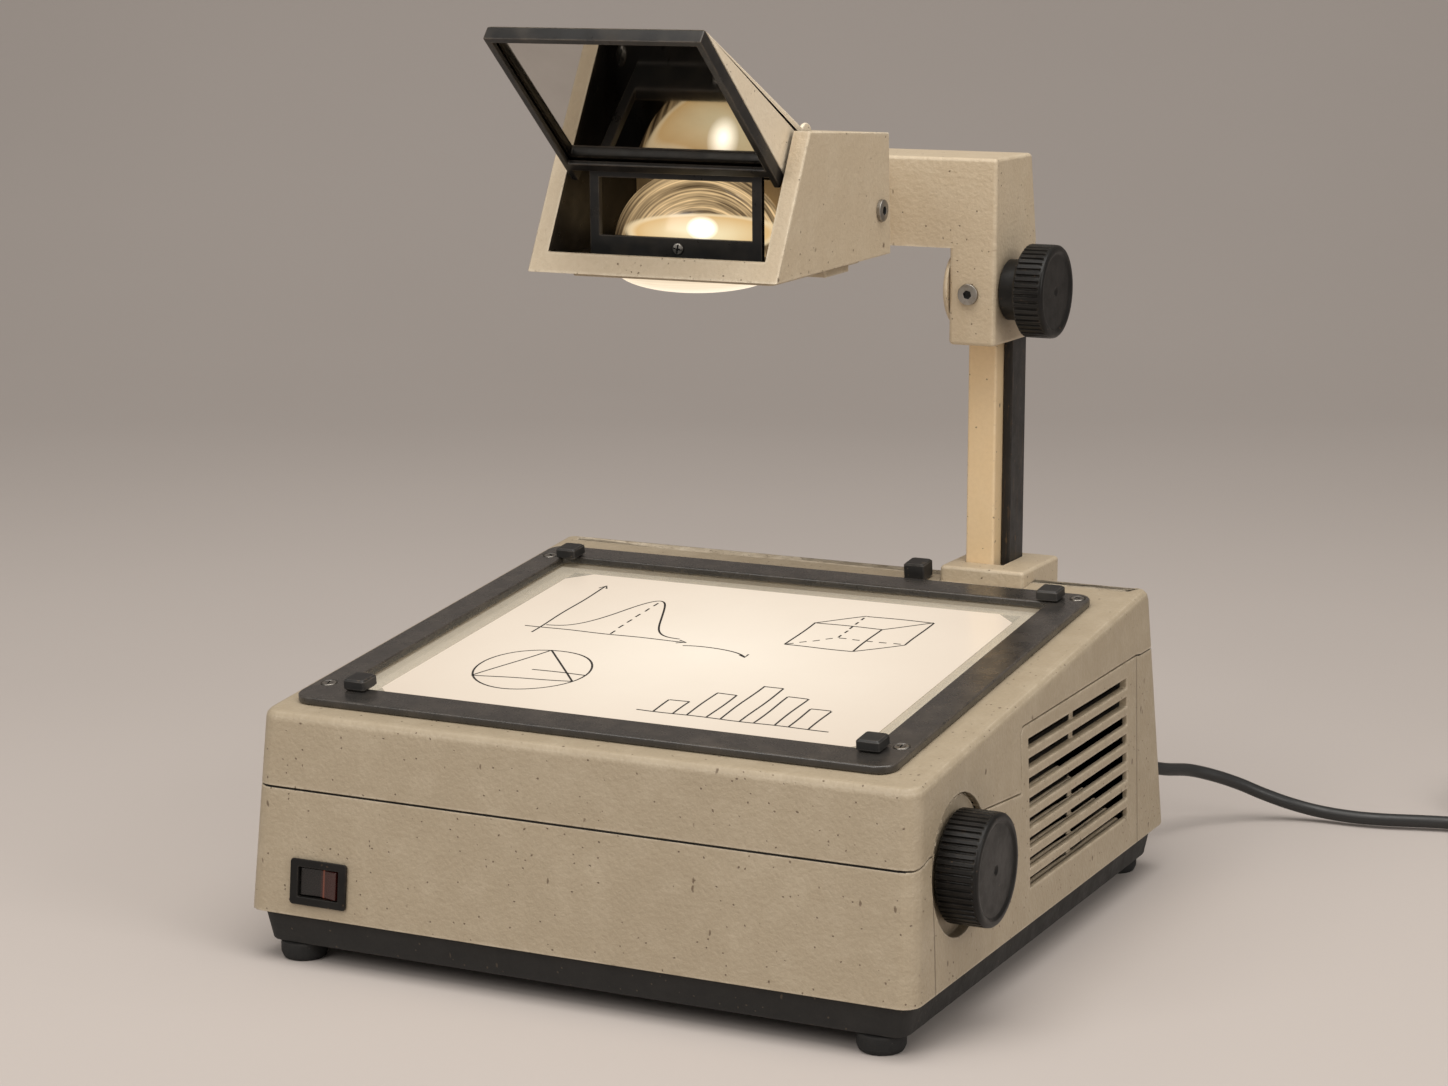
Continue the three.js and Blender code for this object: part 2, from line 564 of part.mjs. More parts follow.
function upperShell() {
  const floor = -pocketDepth - well.ledge;
  const wellBody = onDeck(box(
    pane.left - well.wall, pane.right + well.wall, pane.front - well.wall, pane.rear + well.wall,
    floor, -housing.wall / 2));
  const pocket = onDeck(box(pane.left - seat, pane.right + seat, pane.front - seat, pane.rear + seat,
    -pocketDepth, overrun));
  const beam = onDeck(prism('z', lightOutline(), floor - overrun, overrun));
  const screwHoles = Object.values(screwPlaces).map(([x, v]) => onDeck(
    cylinder('z', frameScrew.shankRadius + seat, -frameScrew.length - overrun, overrun, x, v, 12)));
  return cut(join(cut(hollowShell, belowSeam(seam.gap)), wellBody), pocket, beam, bracketNotch, ...screwHoles);
}

piece('lower_shell', lowerShell(), shade.beige);
piece('upper_shell', upperShell(), shade.beige);

// Tray and feet

function trayRing(grow, z) {
  return housingOutline(tray.halfWidth + grow, -tray.halfDepth - grow, tray.halfDepth + grow, tray.corner)
    .map(({ x, y }) => [x, y, z]);
}

const trayTop = housing.bottomZ - seat;
piece('base_tray', cut(
  loft([trayRing(-tray.lean, tray.bottomZ), trayRing(0, trayTop)]),
  loft([trayRing(-tray.lean - tray.wall, trayFloorZ), trayRing(-tray.wall, trayTop + overrun)])), shade.charcoal);

for (const [side, depth, name] of [[-1, -1, 'front_left'], [1, -1, 'front_right'], [-1, 1, 'rear_left'],
  [1, 1, 'rear_right']]) {
  const top = tray.bottomZ - seat;
  const body = turned('z', [[0, 0], [foot.tipRadius, 0], [foot.radius, top / 3], [foot.radius, top], [0, top]], 20);
  piece(`foot_${name}`, body, shade.rubber).position.set(side * foot.x, depth * foot.y, 0);
}

// Stage: lens sheet, glass and film under a screwed frame

piece('fresnel_lens', box(pane.left, pane.right, pane.front, pane.rear,
  seat - pocketDepth, seat - pocketDepth + fresnelThickness), shade.clear, deck);
const glassBottom = 2 * seat - pocketDepth + fresnelThickness;
const glassTop = glassBottom + glassThickness;
piece('stage_glass', box(pane.left, pane.right, pane.front, pane.rear, glassBottom, glassTop),
  shade.glassTint, deck);
piece('transparency_film', box(film.left, film.right, film.front, film.rear,
  glassTop + seat, glassTop + seat + filmThickness), shade.film, deck);

const frameTop = seat + frameEdge.thickness;
const screwCuts = Object.values(screwPlaces).flatMap(([x, v]) => [
  cylinder('z', frameScrew.shankRadius + seat, -overrun, overrun, x, v, 12),
  cylinder('z', frameScrew.headRadius + seat, frameTop - frameScrew.headDepth, frameTop + overrun, x, v, 20),
]);
piece('stage_frame', cut(prism('z',
  softRectangle(frame.left, frame.right, frame.front, frame.rear, frameEdge.corner), seat, frameTop,
  [softRectangle(frameOpening.left, frameOpening.right, frameOpening.front, frameOpening.rear, frameEdge.openCorner)]),
...screwCuts), shade.black, deck);

for (const [place, [x, v]] of Object.entries(screwPlaces)) {
  const { headRadius, headDepth, shankRadius, length } = frameScrew;
  const under = -headDepth + seat;
  const body = turned('z', [[0, -length], [shankRadius, -length], [shankRadius, under], [headRadius, under],
    [headRadius, 0], [0, 0]], 16);
  piece(`frame_screw_${place}`, body, shade.steel, deck).position.set(x, v, frameTop);
}

function stopBody([x, v], low, high) {
  const rings = [[stop.edge, low], [0, low + stop.edge], [0, high - stop.edge], [stop.edge, high]];
  return loft(rings.map(([inward, h]) => {
    const halfWidth = stop.width / 2 - inward;
    const halfDepth = stop.depth / 2 - inward;
    const outline = softRectangle(
      x - halfWidth, x + halfWidth, v - halfDepth, v + halfDepth, stop.edge * 1.5, 3);
    return outline.map(([px, pv]) => [px, pv, h]);
  }));
}

for (const [place, middle] of Object.entries(stopPlaces)) {
  piece(`sheet_stop_${place}`, stopBody(middle, frameTop + seat, frameTop + seat + stop.height), shade.black, deck);
}
const middleStop = [bracket.left - stop.width, frame.rear + stop.depth];
piece('sheet_stop_middle', stopBody(middleStop, seat, stop.postHeight), shade.black, deck);

// Power switch

function switchBezel() {
  const { flangeWidth, flangeHeight, flangeCorner, flangeThickness, bodyWidth, bodyHeight } = powerSwitch;
  const flange = prism('y', softRectangle(
    -flangeHeight / 2, flangeHeight / 2, -flangeWidth / 2, flangeWidth / 2, flangeCorner),
  -seat - flangeThickness, -seat);
  const body = box(-bodyWidth / 2, bodyWidth / 2, -seat - flangeThickness / 2, powerSwitch.bodyDepth,
    -bodyHeight / 2, bodyHeight / 2);
  const mouth = box(-powerSwitch.mouthWidth / 2, powerSwitch.mouthWidth / 2, -flangeThickness - overrun,
    powerSwitch.bodyDepth - powerSwitch.floor, -powerSwitch.mouthHeight / 2, powerSwitch.mouthHeight / 2);
  return cut(join(flange, body), mouth);
}

// The rocker's front is a shallow V, and its back an arc about the pivot
function rocker() {
  const { rockerWidth, rockerHeight, rockerThickness, rockerTilt, ridge, pivotDepth } = powerSwitch;
  const half = rockerWidth / 2;
  const tipY = rockerThickness / 2;
  const front = -tipY - ridge;
  const outline = [[-half, -tipY - ridge * 1.4], [0, front + ridge * 0.55], [half, -tipY - ridge * 1.4],
    [half, -tipY + ridge]];
  for (const k of range(7)) {
    const angle = (20 + (140 * k) / 6) * degree;
    outline.push([half * 0.85 * Math.cos(angle), half * 0.55 * Math.sin(angle)]);
  }
  outline.push([-half, -tipY + ridge]);
  return prism('z', outline, -rockerHeight / 2, rockerHeight / 2)
    .rotateZ(-rockerTilt).translate(0, pivotDepth, 0);
}

piece('switch_bezel', switchBezel(), shade.black, switchPanel);
piece('switch_rocker', rocker(), shade.red, switchPanel);

// Knobs and the lamp changer

function knobOutline(radius, ribs, depth) {
  return range(ribs * 2).map((k) => {
    const angle = (Math.PI * k) / ribs;
    const r = k % 2 ? radius : radius - depth;
    return [r * Math.cos(angle), r * Math.sin(angle)];
  });
}

function knob({ radius, ribs, ribDepth, dish: dishDepth, dishShare, tipX }, backX, socketRadius, socketDepth) {
  const body = prism('x', knobOutline(radius, ribs, ribDepth), backX, tipX);
  const face = cylinder('x', radius * dishShare, tipX - dishDepth, tipX + overrun, 0, 0, 40);
  const socket = cylinder('x', socketRadius, backX - overrun, backX + socketDepth, 0, 0);
  return cut(body, face, socket);
}

const lampKnobBack = lampKnob.recessX + lampKnob.clearance;
piece('lamp_knob', knob(lampKnob, lampKnobBack, lampKnob.shaftRadius + seat, lampKnob.socketDepth), shade.black)
  .position.set(0, lampKnob.y, lampKnob.z);
const lampShaftTip = lampKnobBack + lampKnob.socketDepth - seat;
piece('lamp_knob_shaft', turned('x', [
  [0, lampKnob.shaftEndX], [lampKnob.shaftRadius, lampKnob.shaftEndX],
  [lampKnob.shaftRadius, lampKnob.pinionLeftX], [lampKnob.pinionRadius, lampKnob.pinionLeftX],
  [lampKnob.pinionRadius, lampKnob.pinionRightX], [lampKnob.shaftRadius, lampKnob.pinionRightX],
  [lampKnob.shaftRadius, lampShaftTip], [0, lampShaftTip],
], 28), shade.steel).position.set(0, lampKnob.y, lampKnob.z);

function lampChassis() {
  const { left, right, rear, plateThickness, wallThickness, wallTop, legWidth, legDepth, legTop } = chassis;
  const front = Math.min(lampKnob.y - chassis.bearingDepth / 2, chassis.frontWallY) - chassis.lip;
  const bottom = trayFloorZ + seat;
  const low = bottom + plateThickness / 2;
  const shelfTop = legTop + condenser.plateThickness;
  const legs = [[left, left + legWidth], [right - legWidth, right]].map(
    ([x0, x1]) => box(x0, x1, opticY - legDepth / 2, opticY + legDepth / 2, low, shelfTop));
  const walls = [chassis.frontWallY, chassis.rearWallY].map(
    (y) => box(left, right, y, y + wallThickness, low, wallTop));
  const bearing = box(chassis.bearingX, chassis.bearingX + legWidth, lampKnob.y - chassis.bearingDepth / 2,
    lampKnob.y + chassis.bearingDepth / 2, low, chassis.bearingTop);
  const shelf = box(left, right, condenser.front, condenser.rear, legTop, shelfTop);
  const rodHoles = [rod.leftX, rod.rightX].map(
    (x) => cylinder('y', rod.radius + seat, front, rear + overrun, rod.z, x, 20));
  const lightHole = cylinder(
    'z', condenser.radius - condenser.ledge, legTop - overrun, shelfTop + overrun, opticX, opticY, 40);
  const shaftHole = cylinder(
    'x', lampKnob.shaftRadius + seat, lampKnob.pinionRightX, lampKnob.backingX, lampKnob.y, lampKnob.z);
  const plate = box(left, right, front, rear, bottom, bottom + plateThickness);
  return cut(join(plate, ...legs, ...walls, bearing, shelf), ...rodHoles, lightHole, shaftHole);
}

piece('lamp_chassis', lampChassis(), shade.steel);
for (const [name, x] of [['left', rod.leftX], ['right', rod.rightX]]) {
  piece(`guide_rod_${name}`, cylinder('y', rod.radius, rod.frontY, rod.rearY, rod.z, x, 20), shade.steel);
}

// The sled carries the rack that the pinion turns above
const sledTop = sled.bottom + sled.thickness;
const rackTop = lampKnob.z - lampKnob.pinionRadius - seat;
piece('lamp_sled', cut(
  join(
    box(sled.left, sled.right, sled.front, sled.rear, sled.bottom, sledTop),
    prism('x', [
      [rack.front, rackTop - rack.thickness], [rack.postFront, rackTop - rack.thickness],
      [rack.postFront, sled.bottom + seat], [rack.rear, sled.bottom + seat], [rack.rear, rackTop],
      [rack.front, rackTop],
    ], rack.left, rack.right)),
  ...[rod.leftX, rod.rightX].map(
    (x) => cylinder('y', rod.radius + seat, sled.front - overrun, sled.rear + overrun, rod.z, x, 20))), shade.steel);

// A lamp in its own glass dish: one turned outline, out along the dish and back up the bulb
function lampBody() {
  const { neckRadius, neckHeight, radius, height, wall, bulbRadius, bulbHeight } = lamp;
  const turnAt = (share) => share * (Math.PI / 2);
  const curve = (share, r0, r1, h0) => [
    r0 + (r1 - r0) * Math.sin(turnAt(share)), h0 + (height - h0) * (1 - Math.cos(turnAt(share)))];
  const outer = range(4).map((k) => curve(k / 3, neckRadius, radius, neckHeight));
  const inner = range(4).map((k) => curve(1 - k / 3, bulbRadius, radius - wall, neckHeight + wall));
  const crown = range(3).map((k) => [
    bulbRadius * Math.cos(turnAt((k + 1) / 3)),
    bulbHeight - bulbRadius + bulbRadius * Math.sin(turnAt((k + 1) / 3)),
  ]);
  crown[crown.length - 1][0] = 0;
  return turned('z', [[0, 0], [neckRadius, 0], ...outer, ...inner, [bulbRadius, bulbHeight - bulbRadius], ...crown], 20);
}

for (const [name, y] of [['working', opticY], ['spare', opticY - lampTravel]]) {
  const { half, height } = holder;
  const holderTop = sledTop + seat + height;
  piece(`${name}_lamp_holder`, box(opticX - half, opticX + half, y - half, y + half, sledTop + seat, holderTop),
    shade.ceramic);
  piece(`${name}_lamp`, lampBody(), shade.glow).position.set(opticX, y, holderTop + seat);
}

const condenserCurve = range(6).map((k) => {
  const angle = (k * 90 * degree) / 5;
  return [condenser.radius * Math.cos(angle), condenser.rim + (condenser.rise - condenser.rim) * Math.sin(angle)];
});
condenserCurve[condenserCurve.length - 1][0] = 0;
piece('condenser_lens', turned('z', [[0, 0], [condenser.radius, 0], ...condenserCurve], 36), shade.clear)
  .position.set(opticX, opticY, chassis.legTop + condenser.plateThickness + seat);

// Fan and transformer

const fanCentre = [fan.y, trayFloorZ + seat + fan.side / 2];

function fanFrame() {
  const [cy, cz] = fanCentre;
  const ring = cut(
    box(fan.x, fan.x + fan.thickness, cy - fan.side / 2, cy + fan.side / 2, cz - fan.side / 2, cz + fan.side / 2),
    cylinder('x', fan.boreRadius, fan.x - overrun, fan.x + fan.thickness + overrun, cy, cz, 40));
  const arms = range(4).map((k) => box(0, fan.mountThickness, fan.mountRadius - fan.strut, fan.boreRadius + fan.strut / 2,
    -fan.strut / 2, fan.strut / 2).rotateX((k * 90 + 45) * degree).translate(fan.x, cy, cz));
  const mount = cylinder('x', fan.mountRadius, fan.x, fan.x + fan.mountThickness, cy, cz, 28);
  const pin = cylinder('x', fan.pinRadius, fan.x, fan.x + fan.thickness - fan.mountThickness, cy, cz, 12);
  return join(ring, ...arms, mount, pin);
}

function fanRotor() {
  const back = fan.mountThickness + fan.clearance;
  const front = fan.thickness - fan.clearance;
  const hub = cylinder('x', fan.hubRadius, back, front, 0, 0, 28);
  const blades = range(fan.blades).map((k) => box(
    -fan.bladeWidth / 2, fan.bladeWidth / 2, 0, fan.bladeRadius, -fan.bladeThickness / 2, fan.bladeThickness / 2)
    .rotateY(fan.pitch).translate((back + front) / 2, 0, 0).rotateX((k * 360 * degree) / fan.blades));
  return cut(join(hub, ...blades), cylinder('x', fan.pinRadius + seat, -overrun, fan.thickness - fan.mountThickness + seat,
    0, 0, 12));
}

piece('fan_frame', fanFrame(), shade.black);
piece('fan_rotor', fanRotor(), shade.charcoal).position.set(fan.x, ...fanCentre);

function transformerBody() {
  const { left, right, front, rear, coreHeight, coilInset, coilHeight } = transformer;
  const bottom = trayFloorZ + seat;
  const plate = box(left - transformer.foot, right + transformer.foot, front, rear, bottom, bottom + tray.floor);
  const core = box(left, right, front + coilInset, rear - coilInset, bottom, bottom + coilHeight);
  const winding = prism('z', softRectangle(left + coilInset, right - coilInset, front, rear, coilInset / 2),
    bottom + (coilHeight - coreHeight) / 2, bottom + (coilHeight + coreHeight) / 2);
  return join(plate, core, winding);
}
piece('transformer', transformerBody(), shade.copper);

// Column, bracket and bar

function edgedBox(x0, x1, y0, y1, z0, z1, edge) {
  return prism('z', softRectangle(x0, x1, y0, y1, edge, 3), z0, z1);
}

piece('column_bracket', cut(
  edgedBox(bracket.left, bracket.right, bracket.front, bracket.rear, bracket.bottom, bracket.top, bracket.edge),
  box(column.left - seat, bar.right + seat, column.front - seat, bar.rear + seat, bracketFloorZ,
    bracket.top + overrun)), shade.beige);
const columnFoot = bracketFloorZ + seat;
piece('column', edgedBox(column.left, column.right, column.front, column.rear, columnFoot, column.top, column.edge),
  shade.beigeWarm);
piece('focus_bar', box(bar.left, bar.right, bar.front, bar.rear, columnFoot, column.top), shade.black);

// Focusing arm

const headGroup = slopedGroup(head.x, head.frontY, head.frontZ, -head.pitch);
headGroup.rotation.x = head.pitch;
headGroup.updateMatrix();
const inHead = (geometry) => geometry.applyMatrix4(headGroup.matrix);
const headToWorld = (u, w) => {
  const point = new THREE.Vector3(0, u, w).applyMatrix4(headGroup.matrix);
  return [point.y, point.z];
};
const [rearBottomY, rearBottomZ] = headToWorld(head.lengthBottom, 0);
const [rearTopY, rearTopZ] = headToWorld(head.topRearU, head.topRearW);
const headRearY = (z) => rearBottomY + ((z - rearBottomZ) * (rearTopY - rearBottomY)) / (rearTopZ - rearBottomZ);
const rollerRadius = bar.front - focus.y - seat;
// Inside the head the arm ends in a block that takes the side screw
const blockHalf = head.halfWidth - head.wall - seat;
const blockRear = head.topRearU - head.wall - block.clearance;
const tongue = (grow) => box(
  arm.reachLeft - head.x + block.clearance - grow, arm.reachRight - head.x - block.clearance + grow,
  blockRear - block.depth / 2, head.lengthBottom + block.clearance, block.bottomW - grow, block.topW + grow);

function focusingArm() {
  const rearAt = (z) => arm.rear + ((z - arm.shoulder) * (arm.topRear - arm.rear)) / (arm.top - arm.shoulder);
  const lower = edgedBox(arm.left, arm.right, arm.front, arm.rear, arm.bottom, arm.shoulder + arm.edge, arm.edge);
  const beam = prism('x', [[arm.front, arm.shoulder], [rearAt(arm.shoulder), arm.shoulder],
    [arm.topRear, arm.top], [arm.front, arm.top]], arm.reachLeft, arm.right);
  const neck = prism('x', [[headRearY(arm.shoulder) + seat, arm.shoulder], [arm.front + arm.edge, arm.shoulder],
    [arm.front + arm.edge, arm.top], [headRearY(arm.top) + seat, arm.top]], arm.reachLeft, arm.reachRight);
  const bore = box(column.left - seat, bar.right + seat, column.front - seat, bar.rear + seat,
    arm.bottom - overrun, arm.boreTop);
  const rollerRoom = cylinder('x', rollerRadius + seat, focus.rollerLeftX - 2 * seat, bar.right + seat,
    focus.y, focus.z, 36);
  const shaftBore = cylinder('x', focus.shaftRadius + seat, arm.left - overrun, arm.right + overrun, focus.y, focus.z);
  const screwBore = cylinder('y', screw.shankRadius + seat, arm.front - overrun, focus.y, clampScrew.z, clampScrew.x, 16);
  const headBlock = box(-blockHalf, blockHalf, blockRear - block.depth, blockRear, block.bottomW, block.topW);
  const sideBore = cylinder('x', screw.shankRadius + seat, blockHalf - block.depth * 1.5, blockHalf + overrun,
    sideScrew.u, sideScrew.w, 16);
  return cut(join(lower, beam, neck, inHead(headBlock), inHead(tongue(0))),
    bore, rollerRoom, shaftBore, screwBore, inHead(sideBore));
}

piece('focusing_arm', focusingArm(), shade.beige);
piece('focus_shaft', cylinder('x', focus.shaftRadius, focus.shaftLeftX, focus.shaftRightX, focus.y, focus.z), shade.steel);
piece('focus_roller', prism('x', circle(rollerRadius, 36), focus.rollerLeftX, focus.rollerRightX,
  [circle(focus.shaftRadius + seat, 20)]), shade.rubber).position.set(0, focus.y, focus.z);

function focusKnob() {
  const grip = knob(focus, focus.knobX, focus.shaftRadius + seat, focus.shaftRightX - focus.knobX + seat);
  const hub = prism('x', circle(focus.hubRadius, 36), focus.hubX, focus.knobX + focus.dish,
    [circle(focus.shaftRadius + seat, 20)]);
  const socket = cylinder('x', focus.shaftRadius + seat, focus.hubX - overrun, focus.shaftRightX + seat, 0, 0);
  return cut(join(grip, hub), socket);
}
piece('focus_knob', focusKnob(), shade.black).position.set(0, focus.y, focus.z);

// A domed cap closes the shaft's bore on the arm's left face
const capCurve = range(5).map((k) => {
  const angle = (k * 90 * degree) / 4;
  return [focus.capRadius * Math.sin(angle), -focus.capRim - (focus.capRise - focus.capRim) * Math.cos(angle)];
});
capCurve[0][0] = 0;
piece('shaft_cap', turned('x', [...capCurve, [focus.capRadius, 0], [0, 0]], 28), shade.beige)
  .position.set(arm.left - seat, focus.y, focus.z);

// A socket screw along y or x: its head stands proud of the face that it enters
function socketScrew(axis, shankLength) {
  const { headRadius, headHeight, socketRadius, socketDepth, shankRadius } = screw;
  return turned(axis, [
    [0, -shankLength], [shankRadius, -shankLength], [shankRadius, seat], [headRadius, seat],
    [headRadius, headHeight - seat], [headRadius - seat * 2, headHeight], [socketRadius, headHeight],
    [socketRadius, headHeight - socketDepth], [0, headHeight - socketDepth],
  ], 18);
}
piece('clamp_screw', socketScrew('y', focus.y - focus.shaftRadius - 2 * seat - arm.front).rotateZ(Math.PI), shade.steel)
  .position.set(clampScrew.x, arm.front, clampScrew.z);

// Head

const headProfile = [[0, 0], [head.lengthBottom, 0], [head.topRearU, head.topRearW], [head.topFrontU, head.topFrontW]];
const frontSlant = Math.atan2(head.topFrontW, head.topFrontU);
const slantAt = (w) => (w * head.topFrontU) / head.topFrontW;

function headShell() {
  const { halfWidth, wall, rim, lip, lengthBottom, topRearU, topRearW, topFrontU, topFrontW } = head;
  const skinU = wall / Math.sin(frontSlant);
  const roof = (u) => topFrontW + ((u - topFrontU) * (topRearW - topFrontW)) / (topRearU - topFrontU);
  const cavity = prism('x', [
    [slantAt(wall) + skinU, wall], [lengthBottom - wall, wall], [topRearU - wall, roof(topRearU) - wall],
    [slantAt(topFrontW - wall) + skinU, roof(topFrontU) - wall],
  ], wall - halfWidth, halfWidth - wall);
  const lipU = lip * Math.cos(frontSlant);
  const lipW = lip * Math.sin(frontSlant);
  const frontOpening = prism('x', [
    [lipU - overrun, lipW], [lipU + skinU + overrun, lipW], [topFrontU + skinU + overrun, topFrontW],
    [topFrontU + skinU + overrun, topFrontW + overrun], [topFrontU - overrun, topFrontW + overrun],
  ], rim - halfWidth, halfWidth - rim);
  const topOpening = box(-head.topOpenHalf, head.topOpenHalf, topFrontU + skinU, head.topBackU,
    topRearW - wall * 2, topFrontW + overrun);
  const lensHole = cylinder('z', lens.radius - lens.ledge, -overrun, wall + overrun, lens.x, lens.u, 40);
  const pinHole = cylinder('x', lid.pinRadius + seat, -lid.pinHalf - seat, lid.pinHalf + seat, lid.hingeU, lid.hingeW);
  const screwHole = cylinder('x', screw.shankRadius + seat, 0, halfWidth + overrun, sideScrew.u, sideScrew.w, 16);
  return cut(prism('x', headProfile, -halfWidth, halfWidth), cavity, frontOpening, topOpening, lensHole, pinHole,
    screwHole, tongue(seat));
}

piece('head_shell', headShell(), shade.beige, headGroup);

piece('head_screw', socketScrew('x', block.depth), shade.steel, headGroup)
  .position.set(head.halfWidth, sideScrew.u, sideScrew.w);

// Lens plate and lower lens under the head, held against its floor

const plateTop = -seat;
const plateBottom = plateTop - lensPlate.thickness;

function lensPlateBody() {
  const { left, right, front, rear, floor } = lensPlate;
  const plate = prism('z', softRectangle(left, right, front, rear, head.wall), plateBottom, plateTop);
  const lug = box(plateLug.left, plateLug.right, plateLug.front, plateLug.rear,
    plateBottom - plateLug.height, plateBottom + floor);
  return cut(join(plate, lug),
    cylinder('z', lens.radius + seat, plateBottom + floor, plateTop + overrun, lens.x, lens.u, 40),
    cylinder('z', lens.radius - lens.ledge, plateBottom - overrun, plateTop, lens.x, lens.u, 40));
}
piece('lens_plate', lensPlateBody(), shade.beigeWarm, headGroup);

const lowerLensBottom = plateBottom + lensPlate.floor + seat;
const bulgeRadius = lens.radius - lens.ledge - seat;
const bulgeCurve = range(5).map((k) => {
  const angle = (k * 90 * degree) / 4;
  return [bulgeRadius * Math.sin(angle), -lens.bulge * Math.cos(angle)];
});
bulgeCurve[0][0] = 0;
piece('lower_lens', turned('z', [...bulgeCurve, [lens.radius, 0], [lens.radius, plateTop - seat - lowerLensBottom],
  [0, plateTop - seat - lowerLensBottom]], 36), shade.glow, headGroup)
  .position.set(lens.x, lens.u, lowerLensBottom);

// Lens tray with its guard window, and the domed upper lens, flatter towards the guard

const flattenFront = (geometry) => {
  const points = geometry.attributes.position;
  for (const k of range(points.count)) {
    if (points.getY(k) < 0) points.setY(k, (points.getY(k) * lens.frontReach) / lens.radius);
  }
  return geometry;
};

const trayBottomW = head.wall + seat;
const trayTopW = trayBottomW + lensTray.thickness;

function lensTrayBody() {
  const half = head.halfWidth - head.wall - seat;
  const plate = box(-half, half, lensTray.front, lensTray.rear, trayBottomW, trayTopW);
  const front = guard.u;
  const window = cut(
    box(-guard.half, guard.half, front, front + guard.depth, trayTopW - lensTray.thickness / 2, guard.top),
    box(guard.post - guard.half, guard.half - guard.post, front - overrun, front + guard.depth + overrun,
      trayTopW + guard.sill, guard.top - guard.bar));
  const hole = flattenFront(cylinder('z', lens.radius - lens.ledge, trayBottomW - overrun, trayTopW + overrun, 0, 0, 40))
    .translate(lens.x, lens.u, 0);
  return cut(join(plate, window), hole);
}
piece('lens_tray', lensTrayBody(), shade.black, headGroup);

const domeCurve = range(8).map((k) => {
  const angle = (k * 90 * degree) / 7;
  return [lens.radius * Math.cos(angle), lens.rim + (lens.topRise - lens.rim) * Math.sin(angle)];
});
domeCurve[domeCurve.length - 1][0] = 0;
piece('upper_lens', flattenFront(turned('z', [[0, 0], [lens.radius, 0], ...domeCurve], 36)), shade.glow, headGroup)
  .position.set(lens.x, lens.u, trayTopW + seat);

// Mirror lid, drawn about its hinge pin

const lidGroup = slopedGroup(head.x, ...headToWorld(lid.hingeU, lid.hingeW), 0);
const mirrorTilt = Math.atan2(lid.tipZ - lid.footZ, lid.footY - lid.tipY);
const mirrorLength = Math.hypot(lid.tipZ - lid.footZ, lid.footY - lid.tipY);
// A point at a distance along the mirror from its foot, and a height behind its face
const onMirror = (along, behind) => [
  lid.footY - along * Math.cos(mirrorTilt) + behind * Math.sin(mirrorTilt),
  lid.footZ + along * Math.sin(mirrorTilt) + behind * Math.cos(mirrorTilt),
];
const slab = (from, to, front, back) => [
  onMirror(from, front), onMirror(from, back), onMirror(to, back), onMirror(to, front)];

function lidShell() {
  const { halfWidth, skin, earRadius, pinRadius } = lid;
  const base = mirror.frameThickness + seat;
  const apex = [lid.apexY, lid.apexZ];
  const foot_ = onMirror(0, base);
  const tip = onMirror(mirrorLength, base);
  const wedge = [tip, foot_, apex];
  const roofSlope = Math.atan2(tip[1] - apex[1], apex[0] - tip[0]);
  const down = [-skin * Math.sin(roofSlope), -skin * Math.cos(roofSlope)];
  const inside = [
    [tip[0] + down[0], tip[1] + down[1]], onMirror(mirrorLength, -overrun), onMirror(-overrun, -overrun),
    onMirror(-overrun * 2, base), [apex[0] + overrun, apex[1] + down[1]], [apex[0] + down[0], apex[1] + down[1]],
  ];
  const ears = [-1, 1].map((side) => cylinder('x', earRadius, side > 0 ? halfWidth - skin : -halfWidth,
    side > 0 ? halfWidth : skin - halfWidth, 0, 0, 28));
  return cut(
    join(cut(prism('x', wedge, -halfWidth, halfWidth), prism('x', inside, skin - halfWidth, halfWidth - skin)), ...ears),
    cylinder('x', pinRadius + seat, -halfWidth - overrun, halfWidth + overrun, 0, 0));
}
piece('lid_shell', lidShell(), shade.beige, lidGroup);

function mirrorFrame() {
  const { halfWidth } = lid;
  const { frameThickness, member, barFrom, barTo, lip, glassDepth } = mirror;
  const inner = halfWidth - member;
  const body = prism('x', slab(0, mirrorLength, 0, frameThickness), -halfWidth, halfWidth);
  const notch = prism('x', slab(-overrun, barFrom, -overrun, frameThickness + overrun), -inner, inner);
  const opening = prism('x', slab(barTo, mirrorLength - member, -overrun, frameThickness + overrun), -inner, inner);
  const rebate = prism('x', slab(barTo - lip, mirrorLength - member + lip, glassDepth, frameThickness + overrun),
    -inner - lip, inner + lip);
  return cut(body, notch, opening, rebate);
}
piece('mirror_frame', mirrorFrame(), shade.black, lidGroup);
piece('mirror', prism('x', slab(mirror.barTo - mirror.lip + seat, mirrorLength - mirror.member + mirror.lip - seat,
  mirror.glassDepth + seat, mirror.glassDepth + seat + mirror.glassThickness),
mirror.member - mirror.lip - lid.halfWidth + seat, lid.halfWidth - mirror.member + mirror.lip - seat),
shade.mirror, lidGroup);
piece('lid_hinge_pin', cylinder('x', lid.pinRadius, -lid.pinHalf, lid.pinHalf, 0, 0, 20), shade.steel, lidGroup);

// Mains lead

const reliefFace = relief.bossY + seat;
const reliefTip = reliefFace + relief.flangeThickness + relief.length;
piece('strain_relief', turned('y', [
  [0, reliefFace - relief.neckDepth], [relief.neckRadius, reliefFace - relief.neckDepth],
  [relief.neckRadius, reliefFace], [relief.flangeRadius, reliefFace],
  [relief.flangeRadius, reliefFace + relief.flangeThickness],
  [relief.neckRadius, reliefFace + relief.flangeThickness + seat], [relief.tipRadius, reliefTip], [0, reliefTip],
], 24), shade.rubber).position.set(relief.x, 0, relief.z);

